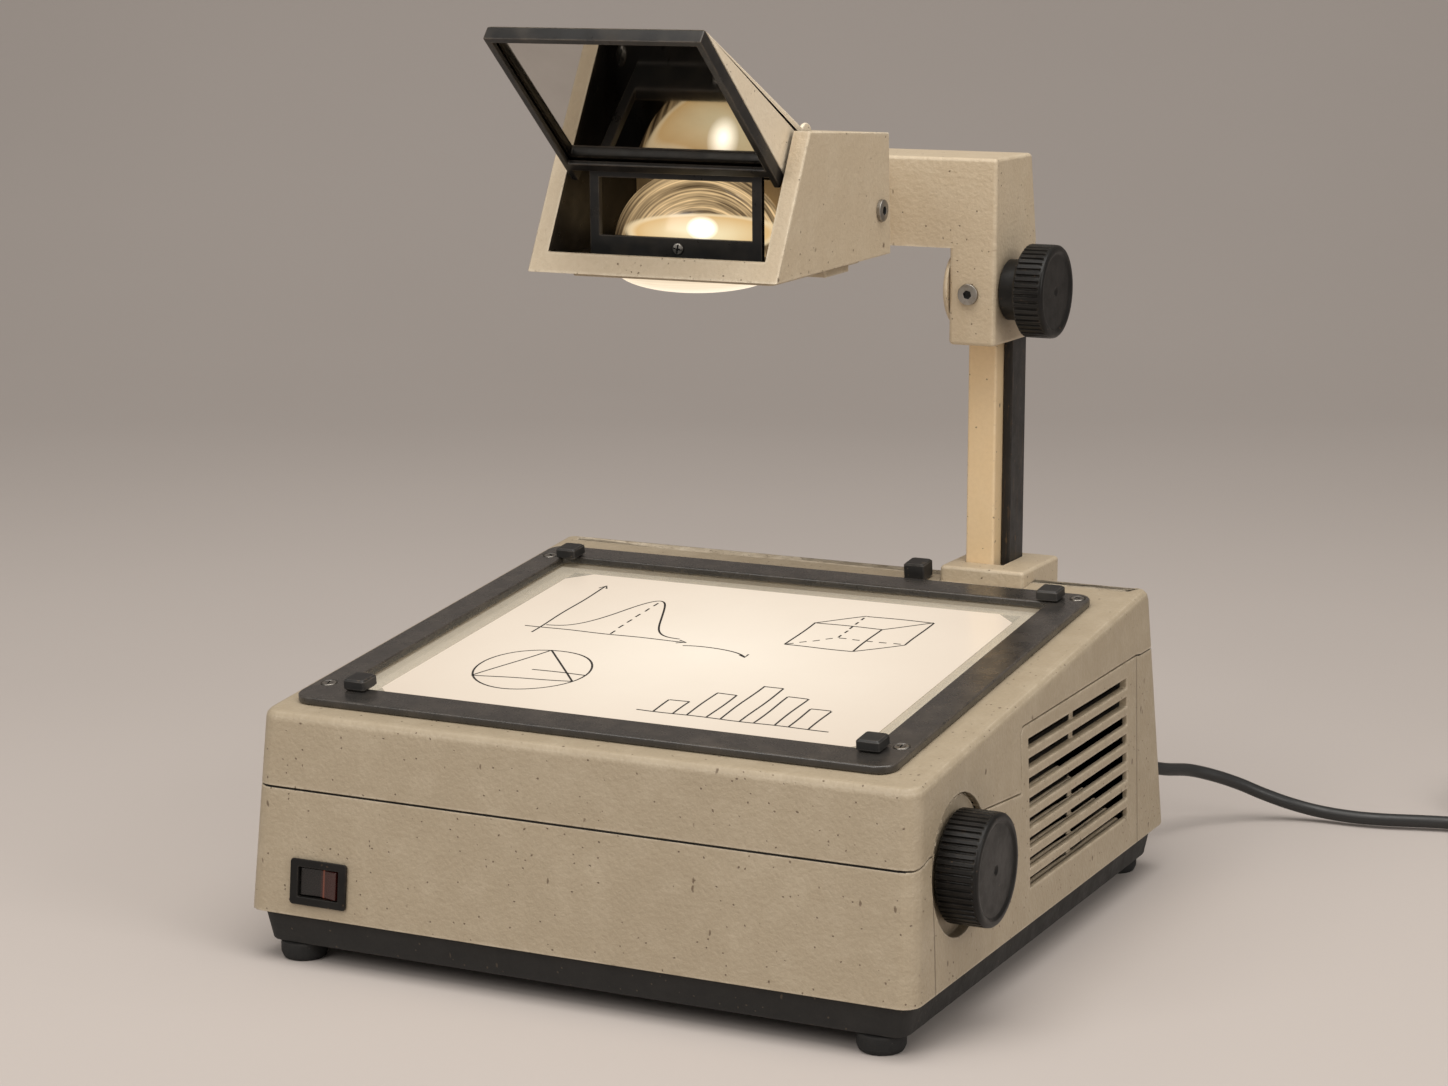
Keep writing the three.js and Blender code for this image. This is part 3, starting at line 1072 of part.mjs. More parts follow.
const coilFloor = tie.thickness + seat;
const lowZ = coilFloor + cord.diameter / 2;
const highZ = lowZ + coil.layerRise;
const coilOuterRadius = coil.innerRadius + (coil.spacing * coil.turns) / 2;
const coilAngle = (turns) => coil.startAngle + 2 * Math.PI * turns;
const heading = (turns) => new THREE.Vector3(-Math.sin(coilAngle(turns)), Math.cos(coilAngle(turns)), 0);

// The lower layer winds in and the upper winds out; the climb takes the half turn about the reversal
function coilPoint(turns) {
  const fromMiddle = turns - coil.turns / 2;
  const radius = coil.innerRadius + coil.spacing * Math.abs(fromMiddle);
  const climb = THREE.MathUtils.smoothstep(fromMiddle, -1 / 4, 1 / 4);
  const angle = coilAngle(turns);
  return new THREE.Vector3(
    coil.x + radius * Math.cos(angle), coil.y + radius * Math.sin(angle), lowZ + (highZ - lowZ) * climb);
}

function coilPath() {
  const steps = Math.round(coil.turns * coil.stepsPerTurn);
  const path = range(steps + 1).map((k) => coilPoint((coil.turns * k) / steps));
  const lead = path[0].clone().addScaledVector(heading(0), -cord.diameter);
  const tail = path[steps].clone().addScaledVector(heading(coil.turns), coil.straight);
  const tailStart = path[steps].clone().addScaledVector(heading(coil.turns), coil.straight - cord.diameter);
  return [lead, ...path, tailStart, tail];
}

// A tube with flat rings, square to the path and joined in one unbroken skin
function woundTube(path, radius, sides) {
  const rings = path.map((point, k) => {
    const before = path[Math.max(k - 1, 0)];
    const after = path[Math.min(k + 1, path.length - 1)];
    const along = after.clone().sub(before).normalize();
    const across = new THREE.Vector3(0, 0, 1).cross(along).normalize();
    const up = along.clone().cross(across);
    return range(sides).map((s) => {
      const angle = ((s + 1 / 2) * 2 * Math.PI) / sides;
      return point.clone().addScaledVector(across, radius * Math.cos(angle))
        .addScaledVector(up, radius * Math.sin(angle)).toArray();
    });
  });
  return loft(rings);
}

// Least gap between stretches of the tube that are more than half a turn apart along it
function leastGap(path, diameter, apart) {
  let least = Infinity;
  for (const a of range(path.length)) {
    for (let b = a + apart; b < path.length; b += 1) {
      least = Math.min(least, path[a].distanceTo(path[b]) - diameter);
    }
  }
  return least;
}

const windings = coilPath();
console.log(`cord coil, least gap to itself: ${
  leastGap(windings, cord.diameter, coil.stepsPerTurn / 2).toFixed(2)} mm`);
piece('cord_coil', woundTube(windings, cord.diameter / 2, coil.sides), shade.rubber);

function cordTube() {
  const exit = new THREE.Vector3(relief.x, reliefTip + seat, relief.z);
  const arrival = windings[0].clone().addScaledVector(heading(0), -seat);
  const points = [
    exit, exit.clone().add(new THREE.Vector3(0, cord.diameter, 0)),
    ...cordRoute.map(([right, behind, high]) => new THREE.Vector3(relief.x + right, rearY + behind, high)),
    arrival.clone().addScaledVector(heading(0), -cord.diameter), arrival,
  ];
  const path = new THREE.CatmullRomCurve3(points, false, 'centripetal');
  const section = shapeOf(circle(cord.diameter / 2, cord.sides));
  return new THREE.ExtrudeGeometry(section, { steps: cord.steps, extrudePath: path });
}
piece('power_cord', cordTube(), shade.rubber);

function cordTie() {
  const inner = coil.innerRadius - cord.diameter / 2 - tie.thickness / 2;
  const outer = coilOuterRadius + cord.diameter / 2 + tie.thickness / 2;
  const low = coilFloor - seat;
  const high = highZ + cord.diameter / 2 + seat;
  const body = prism('y', softRectangle(low - tie.thickness, high + tie.thickness, inner - tie.thickness,
    outer + tie.thickness, tie.thickness * 2), -tie.width / 2, tie.width / 2,
  [softRectangle(low, high, inner, outer, tie.thickness)]);
  return body.rotateZ(tie.angle).translate(coil.x, coil.y, 0);
}
piece('cord_tie', cordTie(), shade.black);

// The plug lies on the floor in line with the coil's last stretch
function plugBody() {
  const half = highZ - seat;
  const section = (halfX, halfZ, corner, y) => softRectangle(-halfX, halfX, -halfZ, halfZ, corner, 3)
    .map(([x, z]) => [x, y, z]).reverse();
  const { width, length, corner, noseLength, noseRadius } = plug;
  const nose = noseRadius * 0.99;
  const body = loft([
    section(noseRadius, noseRadius, nose, 0), section(noseRadius, noseRadius, nose, noseLength * 0.7),
    section(width / 2 - corner / 2, half - corner / 2, corner / 2, noseLength),
    section(width / 2, half, corner, noseLength + corner),
    section(width / 2, half, corner, noseLength + length - corner / 2),
    section(width / 2 - corner / 4, half - corner / 4, corner / 2, noseLength + length),
  ]);
  const face = noseLength + length - seat;
  const blades = [-1, 1].map((side) => box(
    side * plug.bladeSpread - plug.bladeThickness / 2, side * plug.bladeSpread + plug.bladeThickness / 2,
    face, face + plug.bladeLength, -plug.bladeWidth / 2 + plug.pinDrop / 2, plug.bladeWidth / 2 + plug.pinDrop / 2));
  const pin = cylinder('y', plug.pinRadius, face, face + plug.pinLength, -plug.pinDrop, 0, 16);
  return join(body, ...blades, pin);
}
const plugPlace = windings[windings.length - 1].clone().addScaledVector(heading(coil.turns), seat);
const plugMesh = piece('plug', plugBody(), shade.rubber);
plugMesh.position.copy(plugPlace);
plugMesh.rotation.z = coilAngle(coil.turns);

// The finished projector, moved so that its box, without the lead, stands centred on the origin
const projector = new THREE.Group();
model.position.set(
  -(lampKnob.tipX - sideX) / 2, -(bracket.rear + frontY) / 2, 0);
projector.add(model);

export default projector;
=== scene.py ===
"""Overhead projector: finished surfaces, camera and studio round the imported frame.

Metres, +Z up, front -Y. Numbers in millimetres go through place(), shifted() or a division by 1000.
"""

import json
import math
import random

import bmesh
import bpy
from mathutils import Matrix, Vector
from mathutils.bvhtree import BVHTree

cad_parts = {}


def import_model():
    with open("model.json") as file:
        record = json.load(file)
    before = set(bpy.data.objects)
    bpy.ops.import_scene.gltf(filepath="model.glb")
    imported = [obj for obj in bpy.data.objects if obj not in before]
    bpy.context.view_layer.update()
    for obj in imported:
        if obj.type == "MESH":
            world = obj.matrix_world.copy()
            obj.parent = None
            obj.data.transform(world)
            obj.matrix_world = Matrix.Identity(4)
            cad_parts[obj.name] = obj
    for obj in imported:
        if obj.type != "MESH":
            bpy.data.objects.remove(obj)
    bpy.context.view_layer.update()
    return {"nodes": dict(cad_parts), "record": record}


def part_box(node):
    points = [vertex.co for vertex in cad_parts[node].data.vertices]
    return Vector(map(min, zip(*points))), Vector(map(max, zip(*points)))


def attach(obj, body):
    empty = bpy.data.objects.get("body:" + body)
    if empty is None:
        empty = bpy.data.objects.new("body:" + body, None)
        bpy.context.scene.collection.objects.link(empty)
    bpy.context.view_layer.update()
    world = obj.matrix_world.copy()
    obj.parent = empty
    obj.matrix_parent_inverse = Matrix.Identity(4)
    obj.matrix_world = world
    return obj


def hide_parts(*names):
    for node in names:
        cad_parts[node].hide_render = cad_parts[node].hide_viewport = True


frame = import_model()
record = frame["record"]
SLOT = {part["node"]: part["material_slot"] for part in record["subparts"]}
BODY = {node: body for body, nodes in record["behaviour"]["bodies"].items() for node in nodes}
random.seed(7)

# The part's own millimetres run from the middle of the housing on the floor
housing_low, housing_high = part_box("lower_shell")
MIDDLE = (housing_low + housing_high) / 2

DECK_FRONT, DECK_SLOPE = (0, -186, 139.5), 6.24
HEAD_FRONT, HEAD_PITCH = (-5, -85.45, 376.9), 1.01
CAMERA = {"at": (795.38, -1631.87, 564.15), "down": 10.81, "turned": 26.05, "lens": 80.67,
          "sensor": 36}


def place(x, y, z):
    return Vector((MIDDLE.x + x / 1000, MIDDLE.y + y / 1000, z / 1000))


def local_mm(point):
    return (point - place(0, 0, 0)) * 1000


def shifted(x, y, z):
    return Matrix.Translation((x / 1000, y / 1000, z / 1000))


def turned_by(degrees, axis):
    return Matrix.Rotation(math.radians(degrees), 4, axis)


# Each has x to the right, y up its slope and z out of its face
DECK = Matrix.Translation(place(*DECK_FRONT)) @ turned_by(DECK_SLOPE, "X")
HEAD = Matrix.Translation(place(*HEAD_FRONT)) @ turned_by(HEAD_PITCH, "X")
ALONG_X = turned_by(90, "Y")
AGAINST_X = turned_by(-90, "Y")
FACING_FRONT = turned_by(90, "X")


# Camera

def add_camera():
    data = bpy.data.cameras.new("camera")
    data.sensor_fit = "HORIZONTAL"
    data.sensor_width = CAMERA["sensor"]
    data.lens = CAMERA["lens"]
    data.clip_end = 60
    camera = bpy.data.objects.new("camera", data)
    camera.location = place(*CAMERA["at"])
    camera.rotation_euler = (math.radians(90 - CAMERA["down"]), 0, math.radians(CAMERA["turned"]))
    bpy.context.scene.collection.objects.link(camera)
    bpy.context.scene.camera = camera


add_camera()


# Node trees

def add(tree, kind, inputs=None, **settings):
    node = tree.nodes.new("ShaderNode" + kind)
    for name, value in settings.items():
        setattr(node, name, value)
    for name, value in (inputs or {}).items():
        feed(tree, node.inputs[name], value)
    return node


def feed(tree, socket, value):
    if isinstance(value, bpy.types.NodeSocket):
        tree.links.new(value, socket)
    else:
        socket.default_value = value


def blank(name):
    """A new material, its empty node tree and the coordinates that its patterns follow."""
    material = bpy.data.materials.new(name)
    material.use_nodes = True
    tree = material.node_tree
    tree.nodes.clear()
    return material, tree, add(tree, "TexCoord").outputs["Object"]


def close(material, tree, shader):
    add(tree, "OutputMaterial", {"Surface": shader.outputs[0]})
    return material


def colour(value):
    return (*value, 1) if isinstance(value, tuple) else value


def mix(tree, share, first, second):
    node = add(tree, "Mix", data_type="RGBA", blend_type="MIX", clamp_factor=True)
    for index, value in ((0, share), (6, colour(first)), (7, colour(second))):
        feed(tree, node.inputs[index], value)
    return node.outputs[2]


def calc(tree, operation, a, b=0.0, c=0.0):
    node = add(tree, "Math", operation=operation)
    for index, value in enumerate((a, b, c)):
        feed(tree, node.inputs[index], value)
    return node.outputs[0]


def away_from(tree, value, middle):
    return calc(tree, "ABSOLUTE", calc(tree, "SUBTRACT", value, middle))


def vector(tree, operation, a, b=None, output=0):
    inputs = {0: a} if b is None else {0: a, 1: b}
    return add(tree, "VectorMath", inputs, operation=operation).outputs[output]


def spread(tree, value, low, high, to_low=0.0, to_high=1.0):
    """Maps low to high onto to_low to to_high, held at both ends."""
    return add(tree, "MapRange", {
        "Value": value, "From Min": low, "From Max": high, "To Min": to_low,
        "To Max": to_high}).outputs[0]


def noise(tree, where, scale, detail=2.0, rough=0.55, stretch=None):
    if stretch:
        where = vector(tree, "MULTIPLY", where, stretch)
    return add(tree, "TexNoise", {
        "Vector": where, "Scale": scale, "Detail": detail, "Roughness": rough}).outputs[0]


def spots(tree, where, cell, size, share):
    """Scattered dots: cell is their spacing, size their radius, share how many cells hold one."""
    cells = add(tree, "TexVoronoi", {"Vector": where, "Scale": 1 / cell, "Randomness": 1.0})
    soft_radius = 0.55 * size
    near = spread(tree, cells.outputs["Distance"], size / cell, soft_radius / cell)
    chosen = add(tree, "SeparateColor", {0: cells.outputs["Color"]}).outputs[0]
    return calc(tree, "MULTIPLY", near, calc(tree, "LESS_THAN", chosen, share))


def edge_mask(tree, radius, low=0.015, high=0.1):
    """Where the surface turns within radius: low and high bound how much its normal leans."""
    round_normal = add(tree, "Bevel", {"Radius": radius}, samples=4).outputs[0]
    true_normal = add(tree, "NewGeometry").outputs["True Normal"]
    alike = vector(tree, "DOT_PRODUCT", round_normal, true_normal, "Value")
    return spread(tree, calc(tree, "SUBTRACT", 1.0, alike), low, high)


# Worn surfaces: their pale edges are partly wear, partly a painted highlight

VENTS = {"middle": (0, 47, 90.3), "half_length": 83, "half_height": 43.5, "ribs_end": 193.1,
         "shade_from": 192.5}
SEAM = {"side": 190, "half": 0.7, "half_floor": 0.2, "shade": 0.45, "depth": 2.0}
# Painted shade for the vents' sills behind the ribs
VENT_PAINTED_SHADE = (0.012, 0.01, 0.008)
# Scales of the noises, in waves per metre
CLOUDS, BLOTCHES, PATCHES, CHIPS, RUBS, SPECK_BEND = 14, 60, 90, 210, 55, 130
SPECK_DRIFT = (0.004, 0.004, 0.004)
LONG_SPECK = {"stretch": (1.0, 0.7, 0.45), "spacing": 2.1, "size": 1.5, "share": 0.35}
GRAIN_DEPTH = 0.0005


def vent_shade_share(tree, parts):
    """How much painted shade a point of the vents gets, deep behind the ribs of the side walls."""
    sideways = away_from(tree, parts.outputs[0], MIDDLE.x)
    share = spread(tree, sideways, VENTS["ribs_end"] / 1000, VENTS["shade_from"] / 1000)
    middle = place(*VENTS["middle"])
    for axis, half in ((1, VENTS["half_length"]), (2, VENTS["half_height"])):
        away = away_from(tree, parts.outputs[axis], middle[axis])
        share = calc(tree, "MULTIPLY", share, calc(tree, "LESS_THAN", away, half / 1000))
    return share


def seams_and_vents(tree, where, shade, relief, chip, seams):
    """Draws thin seams on the housing's right side at the given y, and paints shade in its vents."""
    parts = add(tree, "SeparateXYZ", {0: where})
    on_side = calc(tree, "GREATER_THAN", parts.outputs[0], place(SEAM["side"], 0, 0).x)
    for seam in seams:
        away = away_from(tree, parts.outputs[1], place(0, seam, 0).y)
        line = spread(tree, away, SEAM["half"] / 1000, SEAM["half_floor"] / 1000)
        groove = calc(tree, "MULTIPLY", line, on_side)
        shade = mix(tree, calc(tree, "MULTIPLY", groove, SEAM["shade"]), shade, chip)
        relief = calc(tree, "SUBTRACT", relief, calc(tree, "MULTIPLY", groove, SEAM["depth"]))
    return mix(tree, vent_shade_share(tree, parts), shade, VENT_PAINTED_SHADE), relief


def worn_and_highlit(name, base, pale, stain, chip, rough=0.6, grain=0.25, grain_scale=400, edge_radius=0.0026,
         edge_share=0.85, chip_share=0.5, dots=(0.005, 0.00066, 0.6), metallic=0.0, coat=0.0,
         streak=None, specular=0.5, seams=()):
    """A moulded or painted surface: mottled, grained, specked, paler and chipped on its edges."""
    material, tree, where = blank(name)
    clouds = noise(tree, where, CLOUDS, 4)
    fine = noise(tree, where, grain_scale, 2)
    shade = mix(tree, spread(tree, clouds, 0.38, 0.68, 0, 0.22), base, stain)
    blotches = noise(tree, where, BLOTCHES, 3)
    shade = mix(tree, spread(tree, blotches, 0.45, 0.75, 0, 0.16), shade, pale)
    shade = mix(tree, spread(tree, fine, 0.35, 0.65, 0, 0.22), shade, stain)

    edge = edge_mask(tree, edge_radius)
    patches = noise(tree, where, PATCHES, 4, 0.65)
    # Paler edges: partly rubbed wear, partly a painted highlight along every edge
    rubbed_and_highlit = calc(tree, "MULTIPLY", edge, spread(tree, patches, 0.35, 0.6, 0.1, edge_share))
    shade = mix(tree, rubbed_and_highlit, shade, pale)
    flakes = noise(tree, where, CHIPS, 4, 0.7)
    chips = calc(tree, "MULTIPLY", edge, spread(tree, flakes, 0.59, 0.65, 0, chip_share))

    bend = add(tree, "TexNoise", {"Vector": where, "Scale": SPECK_BEND}).outputs[1]
    bent = add(
        tree, "VectorMath", {0: bend, 1: SPECK_DRIFT, 2: where}, operation="MULTIPLY_ADD").outputs[0]
    longer = vector(tree, "MULTIPLY", bent, LONG_SPECK["stretch"])
    spacing, size, share = dots
    specks = calc(tree, "MAXIMUM", spots(tree, bent, spacing, size, share), spots(
        tree, longer, spacing * LONG_SPECK["spacing"], size * LONG_SPECK["size"],
        LONG_SPECK["share"]))
    marks = calc(tree, "MAXIMUM", chips, calc(tree, "MULTIPLY", specks, 0.75))
    shade = mix(tree, marks, shade, chip)
    if streak:
        rubs = noise(tree, where, RUBS, 3, 0.6, streak)
        shade = mix(tree, spread(tree, rubs, 0.58, 0.72, 0, 0.7), shade, chip)

    relief = calc(tree, "ADD", fine, calc(tree, "MULTIPLY", specks, -0.8))
    if seams:
        shade, relief = seams_and_vents(tree, where, shade, relief, chip, seams)
    height = add(
        tree, "Bump", {"Strength": grain, "Distance": GRAIN_DEPTH, "Height": relief}).outputs[0]
    return close(material, tree, add(tree, "BsdfPrincipled", {
        "Base Color": shade,
        "Roughness": spread(tree, patches, 0.3, 0.7, rough - 0.08, rough + 0.1),
        "Metallic": metallic, "Specular IOR Level": specular, "Coat Weight": coat,
        "Coat Roughness": 0.25, "Normal": height}))


def metal(name, base, rough, scale=400, stain=(0.12, 0.09, 0.06), stretch=None):
    """Bare metal, brushed along the axis that stretch leaves long, with a few stains."""
    material, tree, where = blank(name)
    fine = noise(tree, where, scale, 3, 0.6, stretch)
    stains = noise(tree, where, 120, 4, 0.7)
    shade = mix(tree, spread(tree, stains, 0.5, 0.75, 0, 0.6), base, stain)
    bump = add(tree, "Bump", {"Strength": 0.15, "Distance": 0.0001, "Height": fine}).outputs[0]
    return close(material, tree, add(tree, "BsdfPrincipled", {
        "Base Color": shade, "Metallic": 1.0,
        "Roughness": spread(tree, fine, 0.3, 0.7, rough, rough + 0.18), "Normal": bump}))


def see_through(name, tint, alpha, rough=0.04, marks=0.06):
    """Thin clear glass or sheet; marks is how much duller and denser its smears are."""
    material, tree, where = blank(name)
    smear = noise(tree, where, 22, 4, 0.6)
    dim_tint = tuple(0.8 * part for part in tint)
    shade = mix(tree, spread(tree, smear, 0.4, 0.7, 0, 0.4), tint, dim_tint)
    return close(material, tree, add(tree, "BsdfPrincipled", {
        "Base Color": shade, "Roughness": spread(tree, smear, 0.4, 0.7, rough, rough + marks),
        "Alpha": spread(tree, smear, 0.4, 0.7, alpha, alpha + marks), "Specular IOR Level": 0.6}))


def glowing(name, centre, reach, inner, outer, strong, weak, ripple=0.0, ripple_scale=900,
            base=(0.25, 0.23, 0.2)):
    """A lit sheet or lens: bright about its centre, warmer and dimmer towards its rim."""
    material, tree, where = blank(name)
    away = vector(tree, "DISTANCE", where, centre, "Value")
    share = spread(tree, away, 0.0, reach)
    uneven = spread(tree, noise(tree, where, 12, 3), 0.35, 0.65, -0.05, 0.05)
    share = calc(tree, "ADD", share, uneven)
    power = spread(tree, share, 0.0, 1.0, strong, weak)
    if ripple:
        rings = calc(tree, "SINE", calc(tree, "MULTIPLY", away, ripple_scale))
        power = calc(tree, "MULTIPLY", power, spread(tree, rings, -1, 1, 1 - ripple, 1))
    return close(material, tree, add(tree, "BsdfPrincipled", {
        "Base Color": colour(base), "Roughness": 0.22, "Specular IOR Level": 0.4,
        "Emission Color": mix(tree, share, inner, outer), "Emission Strength": power}))


# Finishes, by the record's slots: base, pale, stain and chip colours, then what is unusual

BEIGE = (0.385, 0.314, 0.219)
BEIGE_PALE = (0.62, 0.535, 0.41)
BEIGE_STAIN = (0.315, 0.25, 0.168)
CHIP = (0.105, 0.065, 0.036)
FEW_DOTS = (0.009, 0.0005, 0.2)
# The pale colour is also the painted highlight along each finish's edges
finish = {
    "beige_plastic": worn_and_highlit(
        "beige_plastic", BEIGE, BEIGE_PALE, BEIGE_STAIN, CHIP, rough=0.5, grain=0.85),
    # The column's beige paint, set lighter and warmer than the housing's: painted light
    "beige_metal": worn_and_highlit(
        "beige_metal", (0.8, 0.6, 0.36), (0.86, 0.7, 0.5), (0.66, 0.48, 0.27), CHIP,
        rough=0.42, grain=0.15, dots=(0.006, 0.0007, 0.5)),
    "charcoal_plastic": worn_and_highlit(
        "charcoal_plastic", (0.024, 0.023, 0.022), (0.05, 0.047, 0.043), (0.02, 0.019, 0.018),
        (0.09, 0.07, 0.05), rough=0.62, grain=0.3, edge_share=0.6, specular=0.25),
    "black_plastic": worn_and_highlit(
        "black_plastic", (0.026, 0.024, 0.022), (0.2, 0.165, 0.13), (0.03, 0.026, 0.023),
        (0.11, 0.075, 0.045), rough=0.27, grain=0.05, edge_share=0.8, chip_share=0.6, dots=FEW_DOTS,
        coat=0.3, edge_radius=0.0012),
    "black_metal": worn_and_highlit(
        "black_metal", (0.013, 0.012, 0.012), (0.05, 0.044, 0.038), (0.018, 0.016, 0.014),
        (0.09, 0.055, 0.03), rough=0.4, grain=0.08, streak=(9, 9, 0.9), specular=0.3),
    "rubber": worn_and_highlit(
        "rubber", (0.016, 0.016, 0.016), (0.04, 0.038, 0.036), (0.022, 0.02, 0.018),
        (0.05, 0.045, 0.04), rough=0.75, grain=0.5, specular=0.3),
    "black_rubber": worn_and_highlit(
        "black_rubber", (0.028, 0.027, 0.026), (0.07, 0.064, 0.058), (0.022, 0.021, 0.02),
        (0.1, 0.075, 0.05), rough=0.55, grain=0.4, edge_share=0.7, specular=0.4),
    "cord_rubber": worn_and_highlit(
        "cord_rubber", (0.018, 0.018, 0.018), (0.04, 0.038, 0.036), (0.024, 0.023, 0.022),
        (0.05, 0.045, 0.04), rough=0.42, grain=0.15, dots=(0.02, 0.0003, 0.2)),
    "steel": metal("steel", (0.36, 0.34, 0.31), 0.28),
    "aluminium": metal("aluminium", (0.6, 0.6, 0.59), 0.3, stretch=(1, 12, 1)),
    "iron": worn_and_highlit(
        "iron", (0.13, 0.075, 0.04), (0.22, 0.14, 0.08), (0.07, 0.04, 0.025), (0.03, 0.02, 0.015),
        rough=0.4, grain=0.3, metallic=0.3),
    "ceramic": worn_and_highlit(
        "ceramic", (0.62, 0.58, 0.5), (0.74, 0.7, 0.62), (0.5, 0.45, 0.37), (0.2, 0.15, 0.1),
        rough=0.75),
    "stage_glass": see_through("stage_glass", (0.56, 0.5, 0.4), 0.42, 0.05, 0.08),
    "clear_plastic": see_through("clear_plastic", (0.5, 0.47, 0.4), 0.25, 0.2, 0.1),
    "lamp_glass": see_through("lamp_glass", (0.7, 0.62, 0.4), 0.45, 0.1, 0.1),
    "lens_glass": see_through("lens_glass", (0.7, 0.66, 0.55), 0.4, 0.04, 0.04),
}
black_satin = worn_and_highlit(
    "black_satin", (0.011, 0.0105, 0.01), (0.14, 0.11, 0.08), (0.014, 0.012, 0.01),
    (0.09, 0.055, 0.032), rough=0.33, grain=0.05, edge_share=0.8, dots=FEW_DOTS, specular=0.35,
    edge_radius=0.0011)
stop_black = worn_and_highlit(
    "stop_black", (0.018, 0.0175, 0.017), (0.13, 0.115, 0.1), (0.015, 0.014, 0.013),
    (0.1, 0.075, 0.05), rough=0.45, grain=0.1, edge_share=0.9, specular=0.4, edge_radius=0.001)
knob_black = worn_and_highlit(
    "knob_black", (0.007, 0.0066, 0.0062), (0.04, 0.035, 0.03), (0.01, 0.009, 0.008),
    (0.07, 0.045, 0.028), rough=0.36, grain=0.1, edge_share=0.7, specular=0.22, edge_radius=0.0012)
# Lighter copies of the housing's beige: painted light on the head, arm, bracket, shaft cap and lid
upper_beige_painted_light = worn_and_highlit(
    "upper_beige_painted_light", (0.535, 0.435, 0.305), (0.74, 0.65, 0.5), (0.44, 0.35, 0.235), CHIP,
    rough=0.5, grain=0.85)
lid_beige_painted_light = worn_and_highlit(
    "lid_beige_painted_light", (0.78, 0.66, 0.49), (0.86, 0.78, 0.64), (0.66, 0.55, 0.4), CHIP, rough=0.5,
    grain=0.8)
# The lower shell: seams on its right side, and painted shade in its vents
lower_beige = worn_and_highlit(
    "lower_beige", BEIGE, BEIGE_PALE, BEIGE_STAIN, CHIP, rough=0.5, grain=0.85, seams=(144, -169))
# Near-black painted shade for the housing's unlit inside
inside_painted_shade = worn_and_highlit(
    "inside_painted_shade", (0.02, 0.017, 0.013), (0.05, 0.04, 0.03), (0.016, 0.013, 0.01),
    (0.01, 0.008, 0.006), rough=0.8)
film_lit = glowing(
    "film_lit", (-0.0035, 0.161, 0), 0.19, (1.0, 0.885, 0.735), (1.0, 0.84, 0.67), 0.94, 0.74,
    base=(0.05, 0.045, 0.04))
ink = worn_and_highlit(
    "ink", (0.03, 0.027, 0.024), (0.06, 0.052, 0.045), (0.025, 0.022, 0.02), (0.02, 0.018, 0.015),
    rough=0.6)
# Near-black painted shade for the screws' recesses
recess_painted_shade = worn_and_highlit(
    "recess_painted_shade", (0.006, 0.006, 0.006), (0.02, 0.02, 0.02), (0.008, 0.007, 0.006),
    (0.02, 0.015, 0.01))


# Meshes

def put(name, mesh, body, matrix=None, replaces=()):
    obj = bpy.data.objects.new(name, mesh)
    if matrix is not None:
        obj.matrix_world = matrix
    bpy.context.scene.collection.objects.link(obj)
    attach(obj, body)
    if replaces:
        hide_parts(*replaces)
    return obj


def smooth(mesh, angle, obj=None):
    """Smooth shading with edges sharper than angle kept; obj, if given, has its flats kept flat."""
    mesh.shade_smooth()
    mesh.set_sharp_from_angle(angle=math.radians(angle))
    if obj is not None:
        modifier = obj.modifiers.new("weighted", "WEIGHTED_NORMAL")
        modifier.keep_sharp = True


def everywhere(_):
    return True


WELD = 3e-6
FLAT_ANGLE = math.radians(0.7)
EDGE_ANGLE = math.radians(35)


def dress(node, bevels=(), materials=None, paint=None, shading=35):
    """The CAD node's own form with its edges rounded and a finish; it stands for that node.

    bevels lists a width in mm, its segments and a test of an edge's middle. Points that a bevel
    throws off the form go back onto it.
    """
    work = bmesh.new()
    work.from_mesh(frame["nodes"][node].data)
    bmesh.ops.remove_doubles(work, verts=work.verts, dist=WELD)
    bmesh.ops.dissolve_limit(work, angle_limit=FLAT_ANGLE, verts=work.verts, edges=work.edges)
    surface = BVHTree.FromBMesh(work)
    for width, segments, wanted in bevels:
        chosen = [
            edge for edge in work.edges
            if len(edge.link_faces) == 2 and edge.calc_face_angle(0) > EDGE_ANGLE
            and wanted((edge.verts[0].co + edge.verts[1].co) / 2)]
        bmesh.ops.bevel(
            work, geom=chosen, offset=width / 1000, segments=segments, profile=0.5,
            affect="EDGES", clamp_overlap=False)
    if bevels:
        for vert in work.verts:
            nearest, _, _, away = surface.find_nearest(vert.co)
            if away > 0.5 * bevels[0][0] / 1000:
                vert.co = nearest
    if paint:
        for face in work.faces:
            face.material_index = paint(face.calc_center_median(), face.normal)
    mesh = bpy.data.meshes.new(node)
    work.to_mesh(mesh)
    work.free()
    for layer in ("custom_normal", "sharp_face", "sharp_edge"):
        if layer in mesh.attributes:
            mesh.attributes.remove(mesh.attributes[layer])
    for material in materials or [finish[SLOT[node]]]:
        mesh.materials.append(material)
    obj = put(f"{node}_finished", mesh, BODY[node], replaces=[node])
    smooth(mesh, shading, obj)
    return obj


def flat_mesh(name, points, faces, materials):
    """A mesh from points in millimetres."""
    mesh = bpy.data.meshes.new(name)
    mesh.from_pydata([(x / 1000, y / 1000, z / 1000) for x, y, z in points], [], faces)
    for material in materials:
        mesh.materials.append(material)
    return mesh


def rings_mesh(name, rings, materials):
    """A closed skin through rings of points in millimetres, each in order round the piece."""
    count = len(rings[0])
    faces = []
    for row in range(len(rings) - 1):
        for k in range(count):
            a, b = row * count + k, row * count + (k + 1) % count
            faces.append((a, b, b + count, a + count))
    faces.append(tuple(reversed(range(count))))
    faces.append(tuple(range((len(rings) - 1) * count, len(rings) * count)))
    mesh = flat_mesh(name, [point for ring in rings for point in ring], faces, materials)
    mesh.validate()
    return mesh


